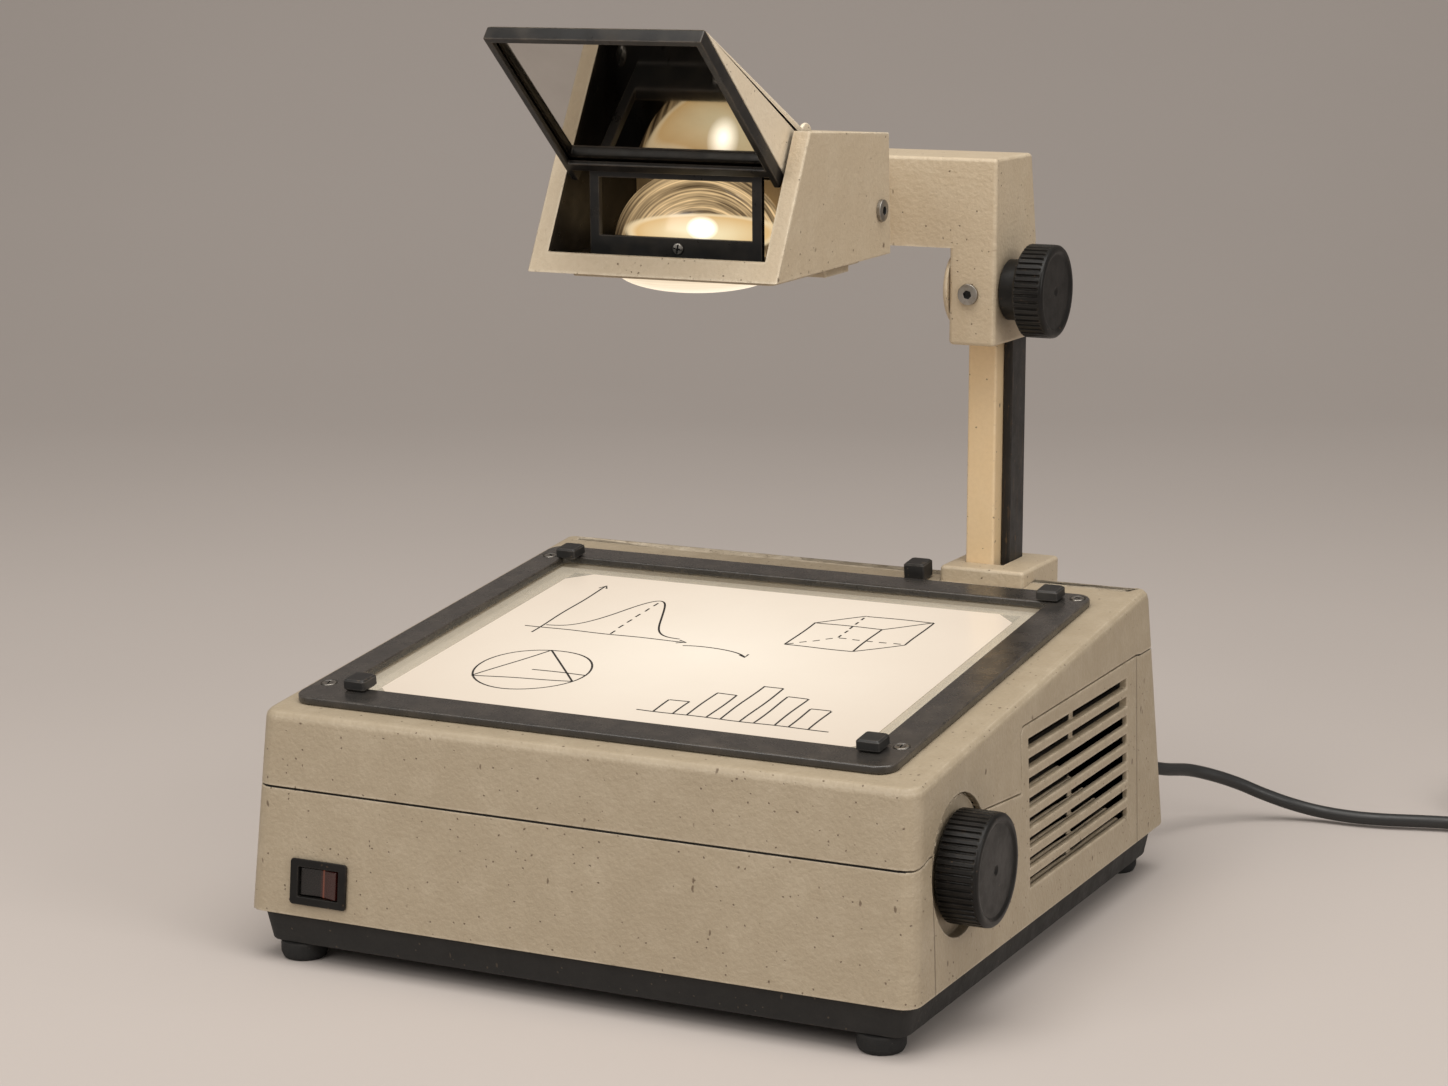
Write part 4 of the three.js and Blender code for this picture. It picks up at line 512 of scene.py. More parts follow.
def turned(name, profile, sides, materials, squeeze=1.0):
    """A turned piece about its own z axis; squeeze scales its front half, where y is negative."""
    rings = []
    for radius, height in profile:
        ring = []
        for k in range(sides):
            angle = 2 * math.pi * k / sides
            x, y = radius * math.cos(angle), radius * math.sin(angle)
            ring.append((x, y * squeeze if y < 0 else y, height))
        rings.append(ring)
    return rings_mesh(name, rings, materials)


# Housing, tray and stage

INNER_SIDE, UNDER_DECK, TRAY_TOP, DECK_REAR_HEIGHT = 189.6, -12.5, 32, 150


def shell_shade_paint(point, normal):
    """Painted shade on the housing's unlit hollow, behind its walls and its vents' deep sills."""
    local = local_mm(point)
    under_deck = (DECK.inverted() @ point).z * 1000 < UNDER_DECK
    upward = normal.z > 0.7 and local.z < DECK_REAR_HEIGHT
    turned_in = normal.x * local.x + normal.y * local.y < -1 or normal.z < -0.7 or upward
    hidden = abs(local.x) < INNER_SIDE and under_deck and turned_in and local.z > TRAY_TOP
    return 1 if hidden else 0


def lower_edges(point):
    """All edges but the fine ones where the knob's well crosses the parting line."""
    x, y, z = local_mm(point)
    return not (x > 180 and -200 < y < -90 and z > 100)


def upper_edges(point):
    """All edges but the fine ones along the rear of the deck."""
    _, y, z = local_mm(point)
    return not (y > 150 and z > 130)


SOFT = [(1.0, 2, everywhere)]
SMALL = [(0.5, 2, everywhere)]
FINE = [(0.35, 2, everywhere)]

dress("lower_shell", [(0.7, 2, lower_edges)], [lower_beige, inside_painted_shade], shell_shade_paint)
dress("upper_shell", [(0.7, 2, upper_edges)], [finish["beige_plastic"], inside_painted_shade], shell_shade_paint)
dress("base_tray", SOFT)
for corner in ("front_left", "front_right", "rear_left", "rear_right"):
    dress(f"foot_{corner}", SOFT)
    dress(f"sheet_stop_{corner}", (), [stop_black], shading=20)
dress("sheet_stop_middle", (), [stop_black], shading=20)
dress("stage_frame", [(1.1, 3, everywhere)])
dress("stage_glass", [(0.3, 1, everywhere)])

STAGE_MIDDLE = (-3.5, 161)
fresnel_lit = glowing(
    "fresnel_lit", tuple(DECK @ Vector((STAGE_MIDDLE[0] / 1000, STAGE_MIDDLE[1] / 1000, 0))), 0.22,
    (1.0, 0.86, 0.68), (0.85, 0.77, 0.63), 0.8, 0.62, ripple=0.12, ripple_scale=4200,
    base=(0.4, 0.38, 0.32))
dress("fresnel_lens", (), [fresnel_lit])

FILM = {"left": -150, "right": 143, "front": 41, "rear": 281, "clip": 13, "thick": 0.3}


def film_mesh():
    """The sheet with clipped top corners: its lit top face first, then its rim and underside."""
    left, right, front, rear = (FILM[side] for side in ("left", "right", "front", "rear"))
    clip = FILM["clip"]
    outline = [(left + clip, front), (right - clip, front), (right, front + clip),
               (right, rear - clip), (right - clip, rear), (left + clip, rear),
               (left, rear - clip), (left, front + clip)]
    corners = [(left, front), (right, front), (right, rear), (left, rear)]
    points = [(x, v, FILM["thick"]) for x, v in outline + corners] + [(x, v, 0) for x, v in corners]
    faces = [tuple(range(8)), (8, 0, 7), (1, 9, 2), (3, 10, 4), (5, 11, 6), (15, 14, 13, 12),
             (8, 12, 13, 9, 1, 0), (9, 13, 14, 10, 3, 2), (10, 14, 15, 11, 5, 4),
             (11, 15, 12, 8, 7, 6)]
    mesh = flat_mesh("film", points, faces, [film_lit, finish["clear_plastic"]])
    for index, face in enumerate(mesh.polygons):
        face.material_index = 0 if index == 0 else 1
    return mesh


put("film_sheet", film_mesh(), "base", DECK, ["transparency_film"])


# The drawing on the film: plotted curve, solid and figures in a plain pen line, in deck millimetres

PEN = {"width": 1.25, "height": 0.36, "wobble": 0.35}
AXES = {"left": -128, "up_at": -118, "foot": 168, "across_at": 178, "right": -22, "top": 262}
BELL = {"from": -116, "width": 90, "peak_at": 44, "spread": 19, "foot": 182, "tall": 62}
BLOCK = {"at": (34, 192), "side": 42, "back": (24, 20)}
CIRCLE = {"x": -84, "v": 108, "radius": 34, "corners": (100, 215, 340)}
BARS = {"line": (4, 118), "foot": 66, "first": 14, "step": 20, "width": 12,
        "tall": (20, 38, 56, 44, 30)}
SWOOP = {"middle": (-6, 158), "radii": (30, 16), "from": 120, "to": 20, "tip": (22, 163.5),
         "heading": -62}


def stroke(points):
    """A pen stroke that wavers a little."""
    start, sway = random.uniform(0, 6), PEN["wobble"]
    return [(x + sway * math.sin(0.11 * v + start), v + sway * math.sin(0.13 * x + start))
            for x, v in points]


def line(x0, v0, x1, v1, steps=14):
    return stroke([
        (x0 + (x1 - x0) * k / steps, v0 + (v1 - v0) * k / steps) for k in range(steps + 1)])


def on_ellipse(x, v, radius_x, radius_v, degrees):
    turn = math.radians(degrees)
    return x + radius_x * math.cos(turn), v + radius_v * math.sin(turn)


def arc(x, v, radius_x, radius_v, start=0, end=360, steps=48):
    return stroke([
        on_ellipse(x, v, radius_x, radius_v, start + (end - start) * k / steps)
        for k in range(steps + 1)])


def arrow(x, v, heading, size=6, opening=26):
    one, other = (on_ellipse(x, v, -size, -size, heading + turn) for turn in (-opening, opening))
    return [one, (x, v), other]


def dashed(x0, v0, x1, v1, count=6):
    dashes = []
    for k in range(count):
        start, end = (k + 0.1) / count, (k + 0.65) / count
        dashes.append(line(x0 + (x1 - x0) * start, v0 + (v1 - v0) * start,
                           x0 + (x1 - x0) * end, v0 + (v1 - v0) * end, 3))
    return dashes


def curve_strokes():
    a, b = AXES, BELL
    peak = b["from"] + b["peak_at"]

    def bell(k):
        return b["foot"] + b["tall"] * math.exp(-((k - b["peak_at"]) / b["spread"]) ** 2)

    return [
        line(a["left"], a["across_at"], a["right"], a["across_at"]),
        arrow(a["right"], a["across_at"], 0),
        line(a["up_at"], a["foot"], a["up_at"], a["top"]),
        arrow(a["up_at"], a["top"], 90),
        stroke([(b["from"] + k, bell(k)) for k in range(0, b["width"], 2)]),
        *dashed(peak, a["across_at"], peak, b["foot"] + b["tall"])]


def block_strokes():
    (x, v), side, (back_x, back_v) = BLOCK["at"], BLOCK["side"], BLOCK["back"]
    far_x, far_v = x + side, v + side
    return [
        line(x, v, far_x, v), line(far_x, v, far_x, far_v), line(far_x, far_v, x, far_v),
        line(x, far_v, x, v),
        line(far_x, v, far_x + back_x, v + back_v),
        line(far_x, far_v, far_x + back_x, far_v + back_v),
        line(x, far_v, x + back_x, far_v + back_v),
        line(x + back_x, far_v + back_v, far_x + back_x, far_v + back_v),
        line(far_x + back_x, v + back_v, far_x + back_x, far_v + back_v),
        *dashed(x, v, x + back_x, v + back_v, 4),
        *dashed(x + back_x, v + back_v, far_x + back_x, v + back_v, 5),
        *dashed(x + back_x, v + back_v, x + back_x, far_v + back_v, 5)]


def circle_strokes():
    x, v, radius = CIRCLE["x"], CIRCLE["v"], CIRCLE["radius"]
    strokes = [arc(x, v, radius, radius)]
    tips = [on_ellipse(x, v, radius, radius, turn) for turn in CIRCLE["corners"]]
    strokes += [line(*start, *end) for start, end in zip(tips, tips[1:] + tips[:1])]
    return strokes + [line(x, v, x + radius, v, 6)]


def bar_strokes():
    start, end = BARS["line"]
    foot, width = BARS["foot"], BARS["width"]
    strokes = [line(start, foot, end, foot)]
    for k, tall in enumerate(BARS["tall"]):
        left = BARS["first"] + k * BARS["step"]
        strokes += [line(left, foot, left, foot + tall, 6),
                    line(left, foot + tall, left + width, foot + tall, 5),
                    line(left + width, foot + tall, left + width, foot, 6)]
    return strokes


def swoop_strokes():
    return [arc(*SWOOP["middle"], *SWOOP["radii"], SWOOP["from"], SWOOP["to"], 18),
            arrow(*SWOOP["tip"], SWOOP["heading"])]


def drawing_mesh():
    """Each stroke as a flat ribbon just above the sheet."""
    half = PEN["width"] / 2
    points, faces = [], []
    paths = (curve_strokes() + block_strokes() + circle_strokes() + bar_strokes()
             + swoop_strokes())
    for path in paths:
        for k, (x, v) in enumerate(path):
            before, after = path[max(k - 1, 0)], path[min(k + 1, len(path) - 1)]
            along = Vector((after[0] - before[0], after[1] - before[1]))
            along.normalize()
            for side in (-half, half):
                points.append((x - side * along.y, v + side * along.x, PEN["height"]))
            if k:
                first = len(points) - 4
                faces.append((first, first + 1, first + 3, first + 2))
    return flat_mesh("drawing", points, faces, [ink])


put("film_drawing", drawing_mesh(), "base", DECK)


# Screws: a turned head whose recess follows a cross or a hexagon

SLANT = 0.93
RECESS_FLOOR = {"share": 0.3, "deeper": 0.3}


def cross_reach(angle, length=2.5, half=0.45):
    folded = (angle + math.pi / 4) % (math.pi / 2) - math.pi / 4
    return min(length / math.cos(folded), half / max(abs(math.sin(folded)), 1e-6))


def hexagon_reach(angle, radius=2.7):
    folded = (angle + math.pi / 6) % (math.pi / 3) - math.pi / 6
    return radius * math.cos(math.pi / 6) / math.cos(folded)


def screw_mesh(name, radius, under, top, crown, reach, depth, shank, length, sides=96):
    """A screw along z: under and top bound its rim, crown is its dome, reach(angle) its recess."""
    rings = []

    def ring(radii, heights):
        rings.append([
            (radii(a) * math.cos(a), radii(a) * math.sin(a), heights(a))
            for a in (2 * math.pi * k / sides for k in range(sides))])

    def domed(r):
        return top + crown * (1 - (r / radius) ** 2)

    rim = radius - 0.4
    outside = [(shank, -length), (shank, under), (radius, under), (radius, top - 0.35),
               (radius - 0.12, top - 0.1), (rim, domed(rim))]
    for flat_radius, flat_height in outside:
        ring(lambda a, r=flat_radius: r, lambda a, h=flat_height: h)
    middle = (rim + reach(math.pi / 12)) / 2

    def around(a):
        return max(middle, reach(a) + 0.15)

    ring(around, lambda a: domed(around(a)))
    ring(lambda a: reach(a) + 0.08, lambda a: domed(reach(a)))
    ring(reach, lambda a: domed(reach(a)) - 0.1)
    ring(lambda a: reach(a) * SLANT, lambda a: top - depth)
    ring(lambda a: reach(a) * RECESS_FLOOR["share"], lambda a: top - depth - RECESS_FLOOR["deeper"])
    mesh = rings_mesh(name, rings, [finish["steel"], recess_painted_shade])
    # The recess's last rings take the painted shade
    for face in mesh.polygons:
        face.material_index = 1 if face.index // sides >= len(rings) - 3 else 0
    return mesh


FRAME_SCREWS = {"front_left": (-176, 41), "rear_left": (-176, 297), "front_right": (167.5, 47),
                "rear_right": (167.5, 310)}
FRAME_TOP = 4.8
for corner, (x, v) in FRAME_SCREWS.items():
    mesh = screw_mesh(f"frame_screw_{corner}", 4.1, -1.6, 0, 0.25, cross_reach, 1.2, 1.8, 7.5)
    turn = Matrix.Rotation(random.uniform(0, 1.5), 4, "Z")
    obj = put(f"frame_screw_{corner}_finished", mesh, "base",
              DECK @ shifted(x, v, FRAME_TOP) @ turn, [f"frame_screw_{corner}"])
    smooth(mesh, 40, obj)

SOCKET_SCREWS = {"clamp_screw": Matrix.Translation(place(91, 136, 350.3)) @ FACING_FRONT,
                 "head_screw": HEAD @ shifted(75.7, 137.5, 26) @ ALONG_X}
for node, matrix in SOCKET_SCREWS.items():
    mesh = screw_mesh(node, 6.2, 0.3, 2.3, 0.35, hexagon_reach, 1.6, 2.9, 12)
    obj = put(f"{node}_finished", mesh, BODY[node],
              matrix @ Matrix.Rotation(0.3, 4, "Z"), [node])
    smooth(mesh, 40, obj)


# Knobs

def knob_mesh(name, back, tip, radius, ribs, share, dish, hub=None, depth=1.3, per_rib=8):
    """A ribbed knob along x from back to tip: share is its dished face's radius, dish its depth."""
    sides = ribs * per_rib
    face, floor = radius * share, tip - dish

    def groove(k):
        phase = (k % per_rib) / per_rib
        lies_between = phase < 0.25 or phase > 0.75
        return max(0.0, math.cos(2 * math.pi * phase)) ** 0.5 if lies_between else 0.0

    # Where along x, how far out, and how much of the groove's depth is cut there
    profile = [
        (back, radius - 2.2, 0), (back + 0.6, radius - depth - 0.6, 0),
        (back + 1.4, radius - 0.2, 0.7),
        (back + 2.2, radius, 1), (tip - 3.6, radius, 1), (tip - 2.6, radius - 0.05, 0.35),
        (tip - 2.2, radius - 0.1, 0), (tip - 1.2, radius - 0.3, 0), (tip - 0.45, radius - 0.9, 0),
        (tip, radius - 1.9, 0), (tip, face + 0.7, 0), (tip - 0.35, face, 0), (floor, face - 0.9, 0),
        (floor - 0.1, face - 1.6, 0), (floor, face - 2.4, 0), (floor, radius * 0.5, 0),
        (floor, 3.2, 0), (floor - 0.25, 2.6, 0), (floor - 0.9, 1.6, 0), (floor - 1.1, 0.4, 0)]
    if hub:
        start, hub_radius = hub
        profile = [(start, hub_radius - 0.8, 0), (start + 0.8, hub_radius, 0),
                   (back - 0.01, hub_radius, 0)] + profile
    rings = []
    for x, r, cut in profile:
        reach = [r - depth * groove(k) * cut for k in range(sides)]
        turns = [2 * math.pi * k / sides for k in range(sides)]
        rings.append([
            (x, out * math.cos(turn), out * math.sin(turn)) for out, turn in zip(reach, turns)])
    return rings_mesh(name, rings, [knob_black])


lamp_knob = knob_mesh("lamp_knob", 195, 219, 30, 48, 0.86, 1.2)
focus_knob = knob_mesh("focus_knob", 119.7, 138.7, 27.5, 44, 0.84, 1.1, hub=(108.2, 18))
for node, y, z, mesh in (("lamp_knob", -133, 88, lamp_knob), ("focus_knob", 157, 352, focus_knob)):
    middle = Matrix.Translation(place(0, y, z))
    obj = put(f"{node}_finished", mesh, BODY[node], middle, [node])
    smooth(mesh, 38, obj)


# Power switch

dress("switch_bezel", SMALL, [knob_black])

ROCKER = {"lit_from": -153.5, "lit_to": -151.5, "seam": -150.5, "seam_half": 0.9, "seam_core": 0.3}


def rocker_finish():
    """Black to the left, dull red to the right with a thin lit line between them."""
    material, tree, where = blank("rocker_red")
    across = add(tree, "SeparateXYZ", {0: where}).outputs[0]
    lit_from, lit_to, seam_at = (
        MIDDLE.x + ROCKER[key] / 1000 for key in ("lit_from", "lit_to", "seam"))
    right = spread(tree, across, lit_from, lit_to)
    fine = noise(tree, where, 500, 3)
    shade = mix(tree, right, (0.006, 0.005, 0.0045), (0.03, 0.007, 0.005))
    shade = mix(tree, spread(tree, fine, 0.4, 0.8, 0, 0.3), shade, (0.02, 0.01, 0.008))
    seam = spread(tree, away_from(tree, across, seam_at),
                  ROCKER["seam_half"] / 1000, ROCKER["seam_core"] / 1000)
    return close(material, tree, add(tree, "BsdfPrincipled", {
        "Base Color": shade, "Roughness": spread(tree, fine, 0.3, 0.7, 0.2, 0.34),
        "Coat Weight": 0.1, "Coat Roughness": 0.1,
        "Emission Color": mix(tree, seam, (0.03, 0.002, 0.001), (0.75, 0.2, 0.1)),
        "Emission Strength": calc(tree, "MULTIPLY", right, 0.14)}))


dress("switch_rocker", [(0.6, 3, everywhere)], [rocker_finish()])


# Lamp changer, fan, transformer and what else keeps its slot's finish

for node in ("lamp_chassis", "lamp_sled", "working_lamp_holder", "spare_lamp_holder", "transformer",
             "fan_frame", "fan_rotor", "lens_plate"):
    dress(node, FINE)
dress("lens_tray", FINE, [black_satin])
for node in ("lamp_knob_shaft", "guide_rod_left", "guide_rod_right", "working_lamp", "spare_lamp",
             "condenser_lens", "focus_shaft", "focus_roller", "lid_hinge_pin"):
    dress(node)


# Column, bracket, bar and arm

def bracket_edges(point):
    """The bracket's foot and top, away from the column's bore."""
    x, y, z = local_mm(point)
    in_bore = 80 < x < 106 and 160 < y < 197
    return z < 100 or (z > 184 and not in_bore)


def arm_edges(point):
    """Edges of the arm that are seen, away from its bores, the head and the step of its sleeve."""
    x, y, z = local_mm(point)
    in_bore = 79 < x < 106 and 160 < y < 198 and z < 412
    near_shaft = abs(y - 157) < 20 and abs(z - 352) < 20
    at_head = y < 72
    at_step = 330 < z < 384
    return not (in_bore or near_shaft or at_head or at_step)


def arm_bore_edges(point):
    """The arm's other edges behind the head, but for the step itself."""
    _, y, z = local_mm(point)
    return not arm_edges(point) and y > 75 and not 370 < z < 384


dress("column_bracket", [(2.2, 4, bracket_edges), (0.5, 2, everywhere)], [upper_beige_painted_light])
dress("column", [(0.4, 2, everywhere)])
dress("focus_bar", SMALL)
dress("focusing_arm", [(2.4, 4, arm_edges), (0.3, 1, arm_bore_edges)], [upper_beige_painted_light])
cap_profile = [(23, 0), (23, 1.2), (22.6, 2.1), (21, 3.1), (18, 4.0), (13, 4.6), (7, 4.9), (1, 5.0)]
cap = turned("shaft_cap", cap_profile, 64, [upper_beige_painted_light])
put("shaft_cap_finished", cap, "carriage",
    Matrix.Translation(place(77.9, 157, 352)) @ AGAINST_X, ["shaft_cap"])
smooth(cap, 50)


# Head and lenses

# The head's side outline: its lip rises to the roof's front, and the roof falls to the rear
HEAD_SIDE = {"half_width": 75.7, "roof_front": (42.7, 77.4), "roof_fall": 8.6 / 107.3,
             "rear": 152.6, "rear_lean": 2.6 / 68.8, "skin": 2}


def head_paint(point, _):
    """Black behind the beige skin: faces more than the skin's thickness inside the outline."""
    x, u, w = (HEAD.inverted() @ point) * 1000
    roof_u, roof_w = HEAD_SIDE["roof_front"]
    inside = min(
        HEAD_SIDE["half_width"] - abs(x),
        (roof_w * u - roof_u * w) / math.hypot(roof_w, roof_u),
        HEAD_SIDE["rear"] - u - w * HEAD_SIDE["rear_lean"],
        roof_w - (u - roof_u) * HEAD_SIDE["roof_fall"] - w,
        w)
    return 1 if inside > HEAD_SIDE["skin"] else 0


def head_outer_edges(point):
    """Edges of the head's side walls, away from the lid's hinge."""
    x, u, w = (HEAD.inverted() @ point) * 1000
    return abs(x) > 75 and not (w > 60 and 55 < u < 75)


def head_mouth_edges(point):
    x, u, _ = (HEAD.inverted() @ point) * 1000
    return u < 60 and abs(x) < 67


dress("head_shell", [(1.3, 3, head_outer_edges), (0.4, 2, head_mouth_edges)],
      [upper_beige_painted_light, black_satin], head_paint)

# The dome's own metres: across it as it is mostly seen, and up from its rim
DOME_ACROSS = (0.895, 0.446, 0)
BOWL = {"middle": 0.001, "low": 0.0, "half_width": 0.0485, "half_height": 0.0465}
POOL = {"middle": 0.002, "low": 0.013, "half_width": 0.04, "half_height": 0.0105}
CORE = {"middle": 0.002, "low": 0.0165, "half_width": 0.009, "half_height": 0.0065}


def dome_finish():
    """The upper lens, all painted light: a glass bowl with fine nested arcs of glints, a pool of
    light in front.
    """
    material, tree, where = blank("dome_lit")
    across = vector(tree, "DOT_PRODUCT", where, DOME_ACROSS, "Value")
    height = add(tree, "SeparateXYZ", {0: where}).outputs[2]

    def ellipse(middle, low, half_width, half_height):
        flat = calc(tree, "DIVIDE", calc(tree, "SUBTRACT", across, middle), half_width)
        tall = calc(tree, "DIVIDE", calc(tree, "SUBTRACT", height, low), half_height)
        flat, tall = calc(tree, "MULTIPLY", flat, flat), calc(tree, "MULTIPLY", tall, tall)
        return calc(tree, "SQRT", calc(tree, "ADD", flat, tall))

    nested = ellipse(**BOWL)
    turn = calc(tree, "ARCTAN2", height, across)

    def banded(ring_count, turn_count, detail, rough):
        rings = calc(tree, "MULTIPLY", nested, ring_count)
        at = add(tree, "CombineXYZ", {0: rings, 1: calc(tree, "MULTIPLY", turn, turn_count)})
        return noise(tree, at.outputs[0], 1.0, detail, rough)

    bands = banded(14.0, 0.7, 3, 0.6)
    fine = banded(60.0, 0.5, 1, 0.5)
    arcs = calc(tree, "MULTIPLY", spread(tree, bands, 0.38, 0.68, 0.35, 1.9),
                spread(tree, fine, 0.3, 0.7, 0.55, 1.35))
    # The arcs' painted glints grow brighter towards one side
    arcs = calc(tree, "MULTIPLY", arcs, spread(tree, across, -0.045, 0.02, 0.5, 1.25))
    glass = mix(tree, spread(tree, arcs, 0.2, 1.9), (0.035, 0.02, 0.009), (0.95, 0.66, 0.34))
    pool = ellipse(**POOL)
    # A painted bright rim round the pool, and a white-hot painted core in it
    rim = spread(tree, away_from(tree, pool, 1.0), 0.1, 0.02)
    lit = mix(tree, spread(tree, pool, 0.25, 1.0), (1.0, 0.83, 0.5), (0.8, 0.5, 0.2))
    shade = mix(tree, spread(tree, pool, 1.06, 0.96), glass, lit)
    shade = mix(tree, calc(tree, "MULTIPLY", rim, 0.7), shade, (1.0, 0.8, 0.5))
    core = spread(tree, ellipse(**CORE), 0.0, 1.0, 1.0, 0.0)
    shade = mix(tree, calc(tree, "SQRT", core), shade, (1.0, 0.95, 0.82))
    return close(material, tree, add(tree, "BsdfPrincipled", {
        "Base Color": colour((0.05, 0.04, 0.03)), "Roughness": 0.2, "Coat Weight": 0.25,
        "Coat Roughness": 0.12, "Emission Color": shade,
        "Emission Strength": spread(tree, core, 0.0, 1.0, 0.9, 3.0)}))


DOME = {"radius": 49.9, "rim": 2.6, "rise": 43.3, "rows": 20, "tip": (0.5, 45.9),
        "front_share": 35 / 50}
BULGE = {"radius": 46.6, "fall": 13, "rows": 16, "tip": (0.4, -13), "rim": [(49.9, 0), (49.9, 2.5)]}
LENS_AXIS = (-6, 71.5)


def quarter(k, rows):
    return math.radians(90 * k / rows)


dome_profile = [(DOME["radius"], 0), (DOME["radius"], DOME["rim"])] + [
    (DOME["radius"] * math.cos(quarter(k, DOME["rows"])),
     DOME["rim"] + DOME["rise"] * math.sin(quarter(k, DOME["rows"])))
    for k in range(1, DOME["rows"])] + [DOME["tip"]]
dome = turned("upper_lens", dome_profile, 96, [dome_finish()], DOME["front_share"])
put("upper_lens_finished", dome, "carriage", HEAD @ shifted(*LENS_AXIS, 6.6),
    ["upper_lens"])
smooth(dome, 50)

bulge_profile = [BULGE["tip"]] + [
    (BULGE["radius"] * math.sin(quarter(k, BULGE["rows"])),
     -BULGE["fall"] * math.cos(quarter(k, BULGE["rows"])))
    for k in range(1, BULGE["rows"] + 1)] + BULGE["rim"]
lower_lit = glowing(
    "lower_lens_lit", (0, 0, -0.013), 0.055, (1.0, 0.91, 0.77), (0.98, 0.8, 0.56), 1.15, 0.8,
    ripple=0.1, ripple_scale=2400)
bulge = turned("lower_lens", bulge_profile, 96, [lower_lit])
put("lower_lens_finished", bulge, "carriage", HEAD @ shifted(*LENS_AXIS, -2.7),
    ["lower_lens"])
smooth(bulge, 50)

TRAY_SCREWS = (shifted(-62.5, 28, 6.3), shifted(2, 30.5, 12.5) @ FACING_FRONT)
for k, spot in enumerate(TRAY_SCREWS):
    mesh = screw_mesh(f"tray_screw_{k}", 3.2, 0.0, 1.0, 0.3, cross_reach, 0.9, 1.2, 0.3)
    matrix = HEAD @ spot @ Matrix.Rotation(0.4 + k, 4, "Z")
    obj = put(f"tray_screw_{k}", mesh, "carriage", matrix)
    smooth(mesh, 40, obj)


# Mirror lid

def lid_edges(point):
    """The lid above its hinge."""
    return local_mm(point).z > 425


# Leans the mirror's shading some 10 degrees: it then shows the lens and the head's dark inside
MIRROR_LEAN = (0, 0.14, -0.146)


def mirror_finish():
    material, tree, where = blank("mirror_silver")
    haze = noise(tree, where, 18, 4, 0.6)
    normal = add(tree, "NewGeometry").outputs["Normal"]
    leaning = vector(tree, "NORMALIZE", vector(tree, "ADD", normal, MIRROR_LEAN))
    return close(material, tree, add(tree, "BsdfPrincipled", {
        "Normal": leaning,
        "Base Color": mix(tree, spread(tree, haze, 0.4, 0.7, 0, 0.5), (0.5, 0.475, 0.44),
                          (0.4, 0.375, 0.345)),
        "Metallic": 1.0, "Roughness": spread(tree, haze, 0.35, 0.75, 0.015, 0.07)}))


dress("lid_shell", [(1.0, 2, lid_edges)], [lid_beige_painted_light])
dress("mirror_frame", [(0.8, 2, everywhere)], [black_satin])
dress("mirror", (), [mirror_finish()])


# Mains lead: one line from the strain relief through the free stretch and the coil to the plug

COIL = {"x": 392, "y": 424, "inner": 32.5, "spacing": 8.5, "turns": 7.25, "low": 5.8, "rise": 8.6,
        "start": -80}
LEAD = {"out": (165, 224.4, 52), "straight": 8, "after_coil": 40, "radius": 0.004,
        "coil_steps": 290}
FREE_STRETCH = [
    (168, 245, 48.5), (177, 262, 43), (186.5, 285, 38), (199, 300, 32), (211, 313, 25),
    (223.5, 322, 18), (239, 330, 11.5), (257, 335, 7.2), (278.5, 336, 5.9), (299, 339, 5.8),
    (319, 345, 5.8), (338, 350, 5.8), (358, 354, 5.8), (378, 357.3, 5.8)]


def coil_angle(turns):
    return math.radians(COIL["start"] + 360 * turns)


def coil_point(turns):
    """Spirals in on the floor, climbs half-way through and spirals out on top."""
    from_middle = turns - COIL["turns"] / 2
    radius = COIL["inner"] + COIL["spacing"] * abs(from_middle)
    share = min(max(from_middle * 2 + 0.5, 0), 1)
    climb = share * share * (3 - 2 * share)
    angle = coil_angle(turns)
    return Vector((COIL["x"] + radius * math.cos(angle), COIL["y"] + radius * math.sin(angle),
                   COIL["low"] + COIL["rise"] * climb))


def coil_heading(turns):
    return Vector((-math.sin(coil_angle(turns)), math.cos(coil_angle(turns)), 0))


def curve_through(points, steps=6):
    """A smooth curve through points, each stretch shaped by its two neighbours."""
    path = []
    for k in range(len(points) - 1):
        before, start, end = points[max(k - 1, 0)], points[k], points[k + 1]
        after = points[min(k + 2, len(points) - 1)]
        for step in range(steps):
            t = step / steps
            path.append(0.5 * (
                2 * start + (end - before) * t
                + (2 * before - 5 * start + 4 * end - after) * t ** 2
                + (3 * start - before - 3 * end + after) * t ** 3))
    return path + [points[-1]]


lead_end = coil_point(COIL["turns"]) + LEAD["after_coil"] * coil_heading(COIL["turns"])


def lead_path():
    straight = LEAD["straight"]
    out = Vector(LEAD["out"])
    first = coil_point(0) - straight * coil_heading(0)
    free = curve_through(
        [out, out + Vector((0, straight, 0))] + [Vector(point) for point in FREE_STRETCH]
        + [first - straight * coil_heading(0), first])
    steps = LEAD["coil_steps"]
    windings = [coil_point(COIL["turns"] * k / steps) for k in range(steps + 1)]
    before_end = lead_end - straight * coil_heading(COIL["turns"])
    return [place(*point) for point in free + windings + [before_end, lead_end]]


def cord_object(name, path, radius):
    data = bpy.data.curves.new(name, "CURVE")
    data.dimensions = "3D"
    data.bevel_depth = radius
    data.bevel_resolution = 4
    data.use_fill_caps = True
    spline = data.splines.new("POLY")
    spline.points.add(len(path) - 1)
    for point, target in zip(spline.points, path):
        point.co = (*target, 1)
    spline.use_smooth = True
    data.materials.append(finish["cord_rubber"])
    obj = bpy.data.objects.new(name, data)
    bpy.context.scene.collection.objects.link(obj)
    return obj


PLUG_BODY_REACH = 0.0545


def plug_paint(point, _):
    """Steel pins beyond the plug's body."""
    return 1 if (point - place(*lead_end)).length > PLUG_BODY_REACH else 0


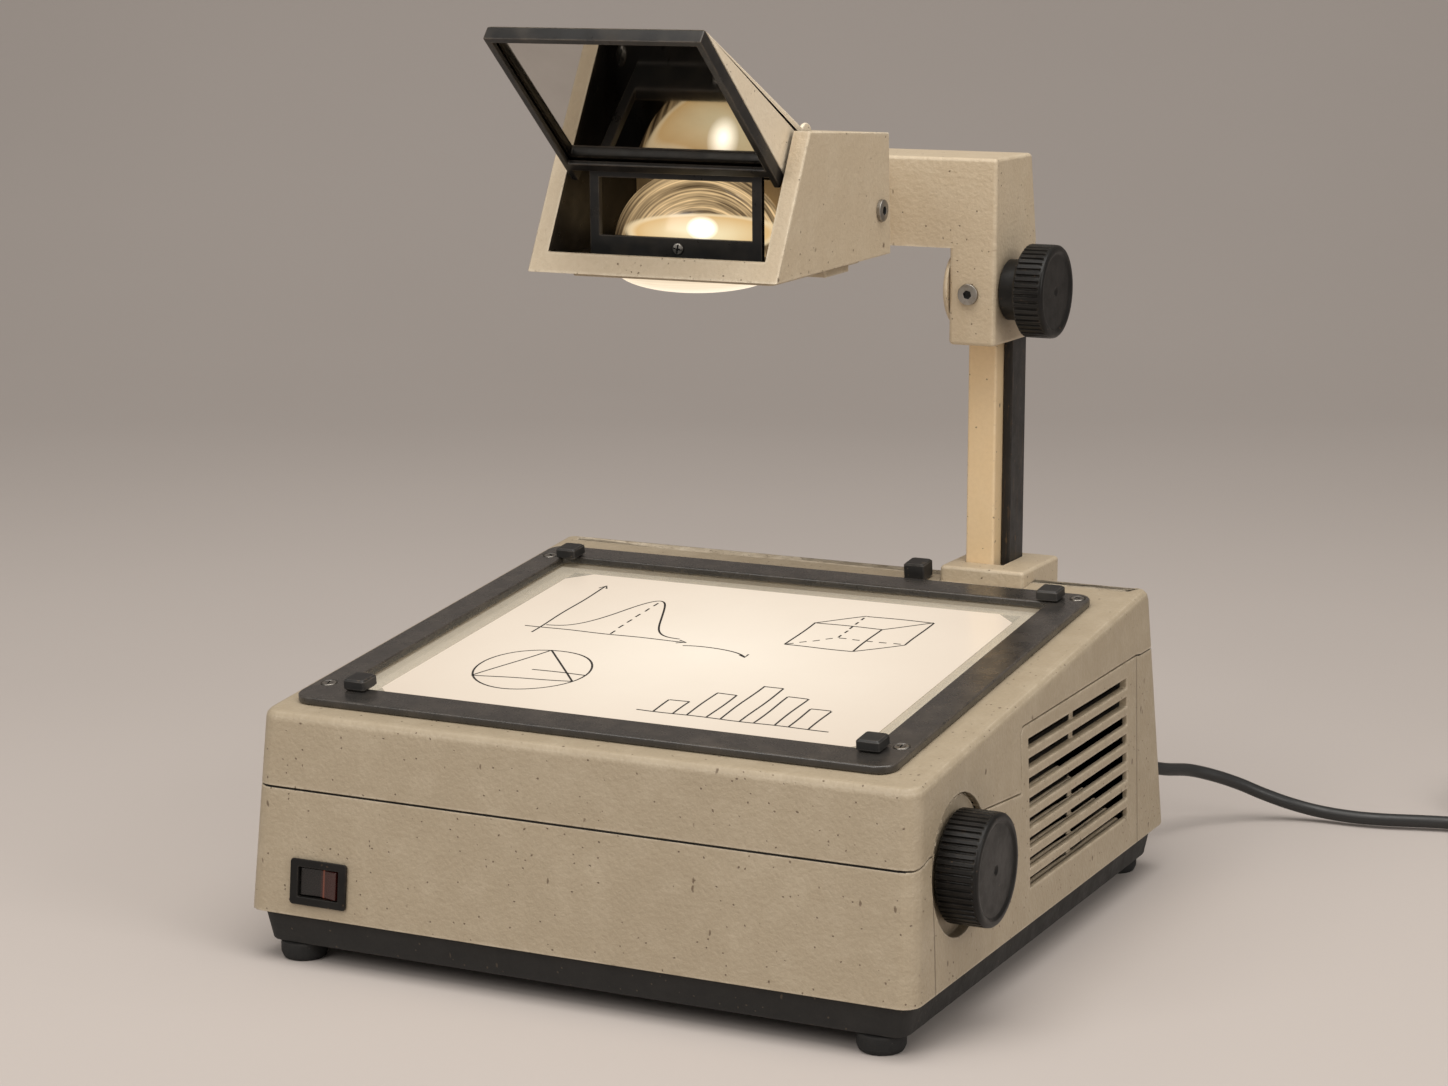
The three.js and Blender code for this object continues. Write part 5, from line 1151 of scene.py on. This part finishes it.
lead = lead_path()
cord = cord_object("mains_lead", lead, LEAD["radius"])
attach(cord, "base")
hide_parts("power_cord", "cord_coil")
relief_piece = dress("strain_relief", [(0.4, 2, everywhere)])
tie_piece = dress("cord_tie", [(0.4, 2, everywhere)])
plug_piece = dress("plug", SMALL, [finish["black_rubber"], finish["steel"]], plug_paint)


# Studio: a pale sweep, a broad overhead softbox and gentle fill

SWEEP = {"near": -9.0, "far": 1.9, "bend": 2.0, "high": 5.0, "half_width": 9.0}
# Size, watts, where it hangs and what it points at
SOFTBOXES = {
    "overhead": ((2.2, 1.8), 53, (0.3, -0.6, 2.5), (0, 0, 0.1)),
    "front_left": ((1.8, 1.4), 31, (-0.9, -2.7, 1.9), (0, 0, 0.3)),
    "right_side": ((1.2, 1.2), 18, (2.4, -0.7, 1.3), (0, 0, 0.3))}
LIGHT_TINT = (1.0, 0.97, 0.93)
WORLD_TINT, WORLD_STRENGTH = (0.93, 0.9, 0.86), 0.36


def paper():
    material, tree, where = blank("paper")
    clouds = noise(tree, where, 0.8, 3)
    fine = noise(tree, where, 260, 2)
    cloudy = spread(tree, clouds, 0.35, 0.65, 0, 1)
    shade = mix(tree, cloudy, (0.522, 0.472, 0.44), (0.503, 0.454, 0.423))
    shade = mix(tree, spread(tree, fine, 0.3, 0.7, 0, 0.06), shade, (0.47, 0.423, 0.395))
    return close(material, tree, add(tree, "BsdfPrincipled", {
        "Base Color": shade, "Roughness": 0.8, "Specular IOR Level": 0.2}))


def backdrop():
    """A floor that sweeps up into a wall behind the object, square to the camera."""
    far, bend, half = SWEEP["far"], SWEEP["bend"], SWEEP["half_width"]
    profile = [(SWEEP["near"], 0.0), (far, 0.0)]
    profile += [(far + bend * math.sin(math.radians(a)), bend - bend * math.cos(math.radians(a)))
                for a in range(6, 91, 6)]
    profile.append((far + bend, SWEEP["high"]))
    points = [(side * half, y, z) for y, z in profile for side in (-1, 1)]
    faces = [(2 * k, 2 * k + 1, 2 * k + 3, 2 * k + 2) for k in range(len(profile) - 1)]
    mesh = bpy.data.meshes.new("backdrop")
    mesh.from_pydata(points, [], faces)
    mesh.shade_smooth()
    mesh.materials.append(paper())
    obj = bpy.data.objects.new("backdrop", mesh)
    obj.rotation_euler = (0, 0, math.radians(CAMERA["turned"]))
    bpy.context.scene.collection.objects.link(obj)


def softbox(name, size, power, location, target):
    data = bpy.data.lights.new(name, "AREA")
    data.shape = "RECTANGLE"
    data.size, data.size_y = size
    data.energy = power
    data.color = LIGHT_TINT
    obj = bpy.data.objects.new(name, data)
    obj.location = location
    aim = Vector(target) - Vector(location)
    obj.rotation_euler = aim.to_track_quat("-Z", "Y").to_euler()
    bpy.context.scene.collection.objects.link(obj)


def world():
    surroundings = bpy.data.worlds.new("studio")
    surroundings.use_nodes = True
    tree = surroundings.node_tree
    tree.nodes.clear()
    background = add(tree, "Background", {"Color": colour(WORLD_TINT), "Strength": WORLD_STRENGTH})
    add(tree, "OutputWorld", {"Surface": background.outputs[0]})
    bpy.context.scene.world = surroundings


backdrop()
for name, (size, power, location, target) in SOFTBOXES.items():
    softbox(name, size, power, location, target)
world()
bpy.context.scene.view_settings.view_transform = "Standard"
